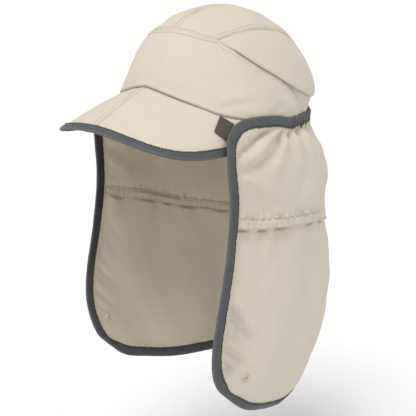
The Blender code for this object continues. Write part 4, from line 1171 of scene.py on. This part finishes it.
def makeCapeTape():
    # once round the cape: upper edge, one front edge, hem, the other front edge, in even steps
    dense = np.linspace(0.0, 1.0, 2000)[:-1]
    place = np.concatenate([1 - 2 * dense, -1 + 0 * dense, -1 + 2 * dense, 1 + 0 * dense])
    row = tapeRow(place, np.concatenate([0 * dense, dense, 1 + 0 * dense, 1 - dense]))
    length = runLength(closeUp(capePoint(place, row), True))
    at = np.linspace(0.0, length[-1], 1501)[:-1]
    place, row = np.interp(at, length[:-1], place), np.interp(at, length[:-1], row)
    edge = capePoint(place, row)
    inside = capePoint(place * 0.955, row + (lastRow / 2 - row) * 0.05)
    # points of the cloth near its edges
    half = 1 - np.linspace(0.0, 1.0, 30) ** 1.3 * 0.12
    places = np.concatenate([-half, np.linspace(-0.87, 0.87, 150), half[::-1]])
    rows = tapeRow(places, np.linspace(0.0, lastRow, 260)[:, None] / lastRow)
    places = np.broadcast_to(places, rows.shape)
    near = (np.abs(places) > 0.90) | (rows < 1.0) | (rows > lastRow - 0.9)
    near = (near & (np.abs(places) < 0.9985) & (rows < lastRow - 0.02)).ravel()
    points, normals = cloudOf(capePoint(places, rows), capeNormal(places, rows))
    elastic = falling(np.abs(place), 0.70, 0.06) * falling(row, 0.9, 0.3)
    hem = rising(row, 10.8, 0.15) * between(place, 0.3, 0.2, 0.74, 0.08)
    gather = capeTape["gather"] + capeTape["elastic"] * elastic + capeTape["hem"] * hem
    tuck = sum(depth * bell((place - centre) * halfRound, width) * bell(row - level, 0.5)
               for centre, level, width, depth in capeTape["creases"])
    cloud = points[near], normals[near]
    addTape("capeTape", "cape_binding", edge, inside, cloud, capeTape, gather, tuck, True)


makeCapeTape()
print("cape tape done")


# casing of the neck elastic, inside the cape

casing = {"cloth": 0.0003, "away": 0.0012, "end": 0.956, "below": 0.02, "bulge": 0.0006,
          # shirring: depth, pitch and seed of its wave, and of its fine wrinkles
          "shirr": (0.00018, 0.0062, 81), "wrinkle": (0.00022, 0.0035, 82), "streak": (0.0040, 83)}


def casingPoint(place, share):
    # a strip just inside the cape, from the channel's upper line to its lip, shirred by the elastic
    line, lip = readTable(place, channelUpper), readTable(place, channelLower) + casing["below"]
    row, around = line + share * (lip - line), place * halfRound
    depth, pitch, seed = casing["shirr"]
    bulge = casing["bulge"] * between(share, 0.0, 0.15, 1.0, 0.15)
    shirr = depth * wander(around, pitch, seed) * between(share, 0.0, 0.12, 1.0, 0.12)
    shirr = shirr + ripples(around, share * 0.006, (casing["wrinkle"],))
    relief, free = capeRelief(place, row), rising(share, 0.0, 0.35)
    out = relief + (np.minimum(relief, 0.0) - relief) * free - casing["away"] * (0.4 + 0.6 * free) - bulge - shirr
    return capeSurface(place, row) + capeNormal(place, row) * out[..., None]


def outwardLine(points, way=1):
    return points, way * unitOf(points * (1, 1, 0))


def makeCasing():
    place = np.linspace(-casing["end"], casing["end"], 560)
    share = np.linspace(0.0, 1.0, 20)[:, None]
    points = casingPoint(*np.broadcast_arrays(place[None, :], share))
    # darker all over and in streaks across its middle, with painted shade along its lower edge
    streaks = np.clip(0.5 + 0.5 * ripple(place * halfRound, 0 * place, *casing["streak"]), 0.0, 1.0)
    edge = 0.15 + 0.35 * streaks * (1 - bell(share, 0.3)) + 0.9 * bell(1 - share, 0.10)
    piece = addGrid("neckCasing", points, capCloth, -points * (1, 1, 0), wall=casing["cloth"], marks={"edge": edge})
    dress(piece, "cloth", "neck_casing")
    # stitches: two rows on the casing, one outside along the lip, and the tacks across the channel
    lines = [outwardLine(casingPoint(place, np.full_like(place, level)), -1) for level in (0.10, 0.90)]
    lines.append(outwardLine(capePoint(place, readTable(place, channelLower) - 0.05, cape["cloth"] / 2)))
    for tack in cape["tacks"]:
        for side in (1, -1) if tack else (1,):
            at = np.full(12, side * tack)
            upper, lower = readTable(at, channelUpper) - 0.18, readTable(at, channelLower)
            rows = upper + (lower - upper) * np.linspace(0, 1, 12)
            lines.append(outwardLine(capePoint(at, rows, cape["cloth"] / 2)))
    dress(addStitches("channelStitches", lines, seamThread), "cloth")


makeCasing()
print("casing done")


# press studs: turned caps outside, rings inside

snap = {"radius": 0.0042, "socketShare": 0.9, "thick": 0.0016, "rise": 0.0008, "sides": 48,
        # profile of the outer cap: share of the radius, share of the thickness
        "cap": ((0.0, 0.50), (0.17, 0.50), (0.20, 0.46), (0.22, 0.12), (0.24, 0.08), (0.38, 0.08), (0.40, 0.12),
                (0.43, 0.90), (0.47, 1.0), (0.63, 1.0), (0.67, 0.90), (0.70, 0.14), (0.72, 0.10), (0.82, 0.10),
                (0.84, 0.14), (0.86, 0.50), (0.89, 0.55), (0.96, 0.48), (1.0, 0.30), (1.0, -0.6)),
        # and of the inner ring
        "socket": ((0.0, 0.10), (0.36, 0.10), (0.38, 0.16), (0.41, 1.0), (0.45, 1.10), (0.55, 1.10), (0.59, 1.0),
                   (0.62, 0.30), (0.65, 0.25), (0.80, 0.25), (0.94, 0.22), (1.0, 0.10), (1.0, -0.8))}


def addTurned(name, node, centre, axis, profile, radius):
    # profile of radius and height turned round an axis, closed at its middle
    side = unitOf(np.cross(axis, [0.0, 0.0, 1.0]))
    turn = np.arange(snap["sides"])[:, None] * 2 * math.pi / snap["sides"]
    spoke = side * np.cos(turn) + np.cross(axis, side) * np.sin(turn)
    r, h = np.array(profile).T
    r, h = np.maximum(r, 1e-3) * radius, h * snap["thick"]
    points = centre + r[:, None, None] * spoke[None] + (h[:, None] * axis)[:, None, :]
    dress(addGrid(name, points, snapPlastic, axis + 0 * points, closed=True), "snap", node)


for word, (place, row) in zip(("left", "right"), cape["studs"]):
    place, row = np.array([place]), np.array([row])
    normal = capeNormal(place, row)[0]
    outside = capePoint(place, row, cape["cloth"] / 2)[0] + normal * snap["rise"] / 2
    inside = capePoint(place, row, -cape["cloth"] / 2)[0] - normal * snap["rise"]
    addTurned("snapCap" + word.title(), "snap_cap_" + word, outside, normal, snap["cap"], snap["radius"])
    addTurned("snapSocket" + word.title(), "snap_socket_" + word, inside, -normal, snap["socket"],
              snap["radius"] * snap["socketShare"])
print("snaps done")


# tab: a short woven ribbon folded double, its open end under the cape's front tape

tab = {
    # way and out on the peak of its corners: fold above, fold below, open end below, open end above
    "corners": ((0.7363, 0.013), (0.7888, 0.393), (0.9525, 0.605), (0.8925, 0.147)),
    "thick": 0.0010, "lift": 0.00095, "splay": 0.0005, "arch": 0.0004, "wall": 0.0004, "stitchRows": (3, 40),
}


def makeTab():
    # two layers that meet in a rounded fold at the side towards the centre front
    along, down = np.meshgrid(np.linspace(0, 1, 44), np.linspace(0, 1, 44))
    foldTop, foldLow, openLow, openTop = np.array(tab["corners"])[:, :, None, None]
    upper, lower = foldTop * (1 - along) + openTop * along, foldLow * (1 - along) + openLow * along
    way, out = upper * (1 - down) + lower * down
    base = peakSurface(way, out)
    slope = unitOf(np.cross(np.gradient(base, axis=1), np.gradient(base, axis=0)))
    slope *= np.sign(slope[..., 2:3])
    rise = peak["cloth"] / 2 + tab["lift"] + tab["arch"] * np.sin(along * 3.0) * (0.4 + 0.6 * down)
    half = tab["thick"] / 2 * np.sqrt(np.clip(along / 0.07, 0, 1)) + tab["splay"] * 0.5 * along * (1 - along)
    top, low = base + slope * (rise + half)[..., None], base + slope * (rise - half)[..., None]
    skin = np.concatenate([low[:, ::-1], top[:, 1:]], axis=1)
    facing = np.concatenate([-slope, slope[:, 1:]], axis=1)
    down = np.concatenate([down, down[:, 1:]], axis=1)
    along = np.concatenate([along[:, ::-1], along[:, 1:]], axis=1)
    edge = bell(down, 0.05) + bell(1 - down, 0.05) + 0.7 * bell(along, 0.06)
    dress(addGrid("tab", skin, tabWeave, facing, wall=tab["wall"], marks={"edge": edge}), "weave", "label_tab")
    lines = [(top[row, 2:], slope[row, 2:]) for row in tab["stitchRows"]]
    dress(addStitches("tabStitches", lines, tabThread), "weave")


makeTab()
print("tab done")


# studio: pale floor, soft light from the upper left in front, and the photograph's camera

studio = {"floor": -0.42, "floorHalf": 30.0, "azimuth": 45.0, "elevation": 16.0, "distance": 0.9,
          "pixelsPerMetre": 1050.0, "frame": 416.0, "originX": 217.6, "originY": 111.7, "sensor": 36.0,
          # strengths, the sun's width in degrees, the fill's disc, and where the lights look
          "sky": 0.63, "key": 1.74, "keyAngle": 28.0, "fill": 0.6, "fillSize": 1.2, "aim": (0.0, 0.0, -0.08),
          # places of the lights: share ahead, share to the right, height
          "keyPlace": (-0.8, -0.4, 1.6), "fillPlace": (-0.9, 1.3, 0.5)}


def cameraAxes():
    a, e = math.radians(studio["azimuth"]), math.radians(studio["elevation"])
    ahead = np.array([-math.sin(a) * math.cos(e), math.cos(a) * math.cos(e), -math.sin(e)])
    right = np.array([math.cos(a), math.sin(a), 0.0])
    return ahead, right, np.cross(right, ahead)


def addCamera():
    # looks along the photograph's direction, moved sideways so that the origin falls on its pixel
    ahead, right, up = cameraAxes()
    middle, scale = studio["frame"] / 2, studio["pixelsPerMetre"]
    sideways = (studio["originX"] - middle) / scale
    upward = (studio["originY"] - middle) / scale
    place = -(studio["distance"] * ahead + sideways * right - upward * up)
    data = bpy.data.cameras.new("camera")
    data.sensor_width = studio["sensor"]
    data.lens = studio["sensor"] * scale * studio["distance"] / studio["frame"]
    camera = bpy.data.objects.new("camera", data)
    camera.matrix_world = Matrix([[right[a], up[a], -ahead[a], place[a]] for a in range(3)] + [[0, 0, 0, 1]])
    bpy.context.scene.collection.objects.link(camera)
    bpy.context.scene.camera = camera


def addLight(name, kind, place, power, colour):
    # a broad disc of light, or a sun as soft as a large window, both aimed at the cap
    ahead, right, up = cameraAxes()
    flat = unitOf(ahead * (1, 1, 0))
    place = place[0] * flat + place[1] * right + np.array([0, 0, place[2]])
    data = bpy.data.lights.new(name, kind)
    data.energy, data.color = power, colour
    if kind == "SUN":
        data.angle = math.radians(studio["keyAngle"])
    else:
        data.shape, data.size = "DISK", studio["fillSize"]
    light = bpy.data.objects.new(name, data)
    light.location = place
    light.rotation_mode = "QUATERNION"
    light.rotation_quaternion = Vector(np.array(studio["aim"]) - place).to_track_quat("-Z", "Y")
    bpy.context.scene.collection.objects.link(light)


def addStudio():
    world = bpy.data.worlds.new("softRoom")
    world.use_nodes = True
    bpy.context.scene.world = world
    world.node_tree.nodes["Background"].inputs["Color"].default_value = (1.0, 1.0, 1.0, 1.0)
    world.node_tree.nodes["Background"].inputs["Strength"].default_value = studio["sky"]
    addLight("keyLight", "SUN", studio["keyPlace"], studio["key"], (1.0, 0.985, 0.96))
    addLight("fillLight", "AREA", studio["fillPlace"], studio["fill"], (1.0, 1.0, 1.0))
    paper = makePlain("paperFloor", (0.93, 0.93, 0.93), (0.90, 0.90, 0.90), 0.8, 0.2, 40.0)
    size = np.linspace(-studio["floorHalf"], studio["floorHalf"], 3)
    x, y = np.meshgrid(size, size)
    points = np.stack([x, y, 0 * x + studio["floor"]], axis=-1)
    floor = addGrid("floor", points, paper, np.array([0.0, 0.0, 1.0]))


addCamera()
addStudio()
bpy.context.scene.view_settings.view_transform = "Standard"
print("studio done")

bpy.context.view_layer.update()
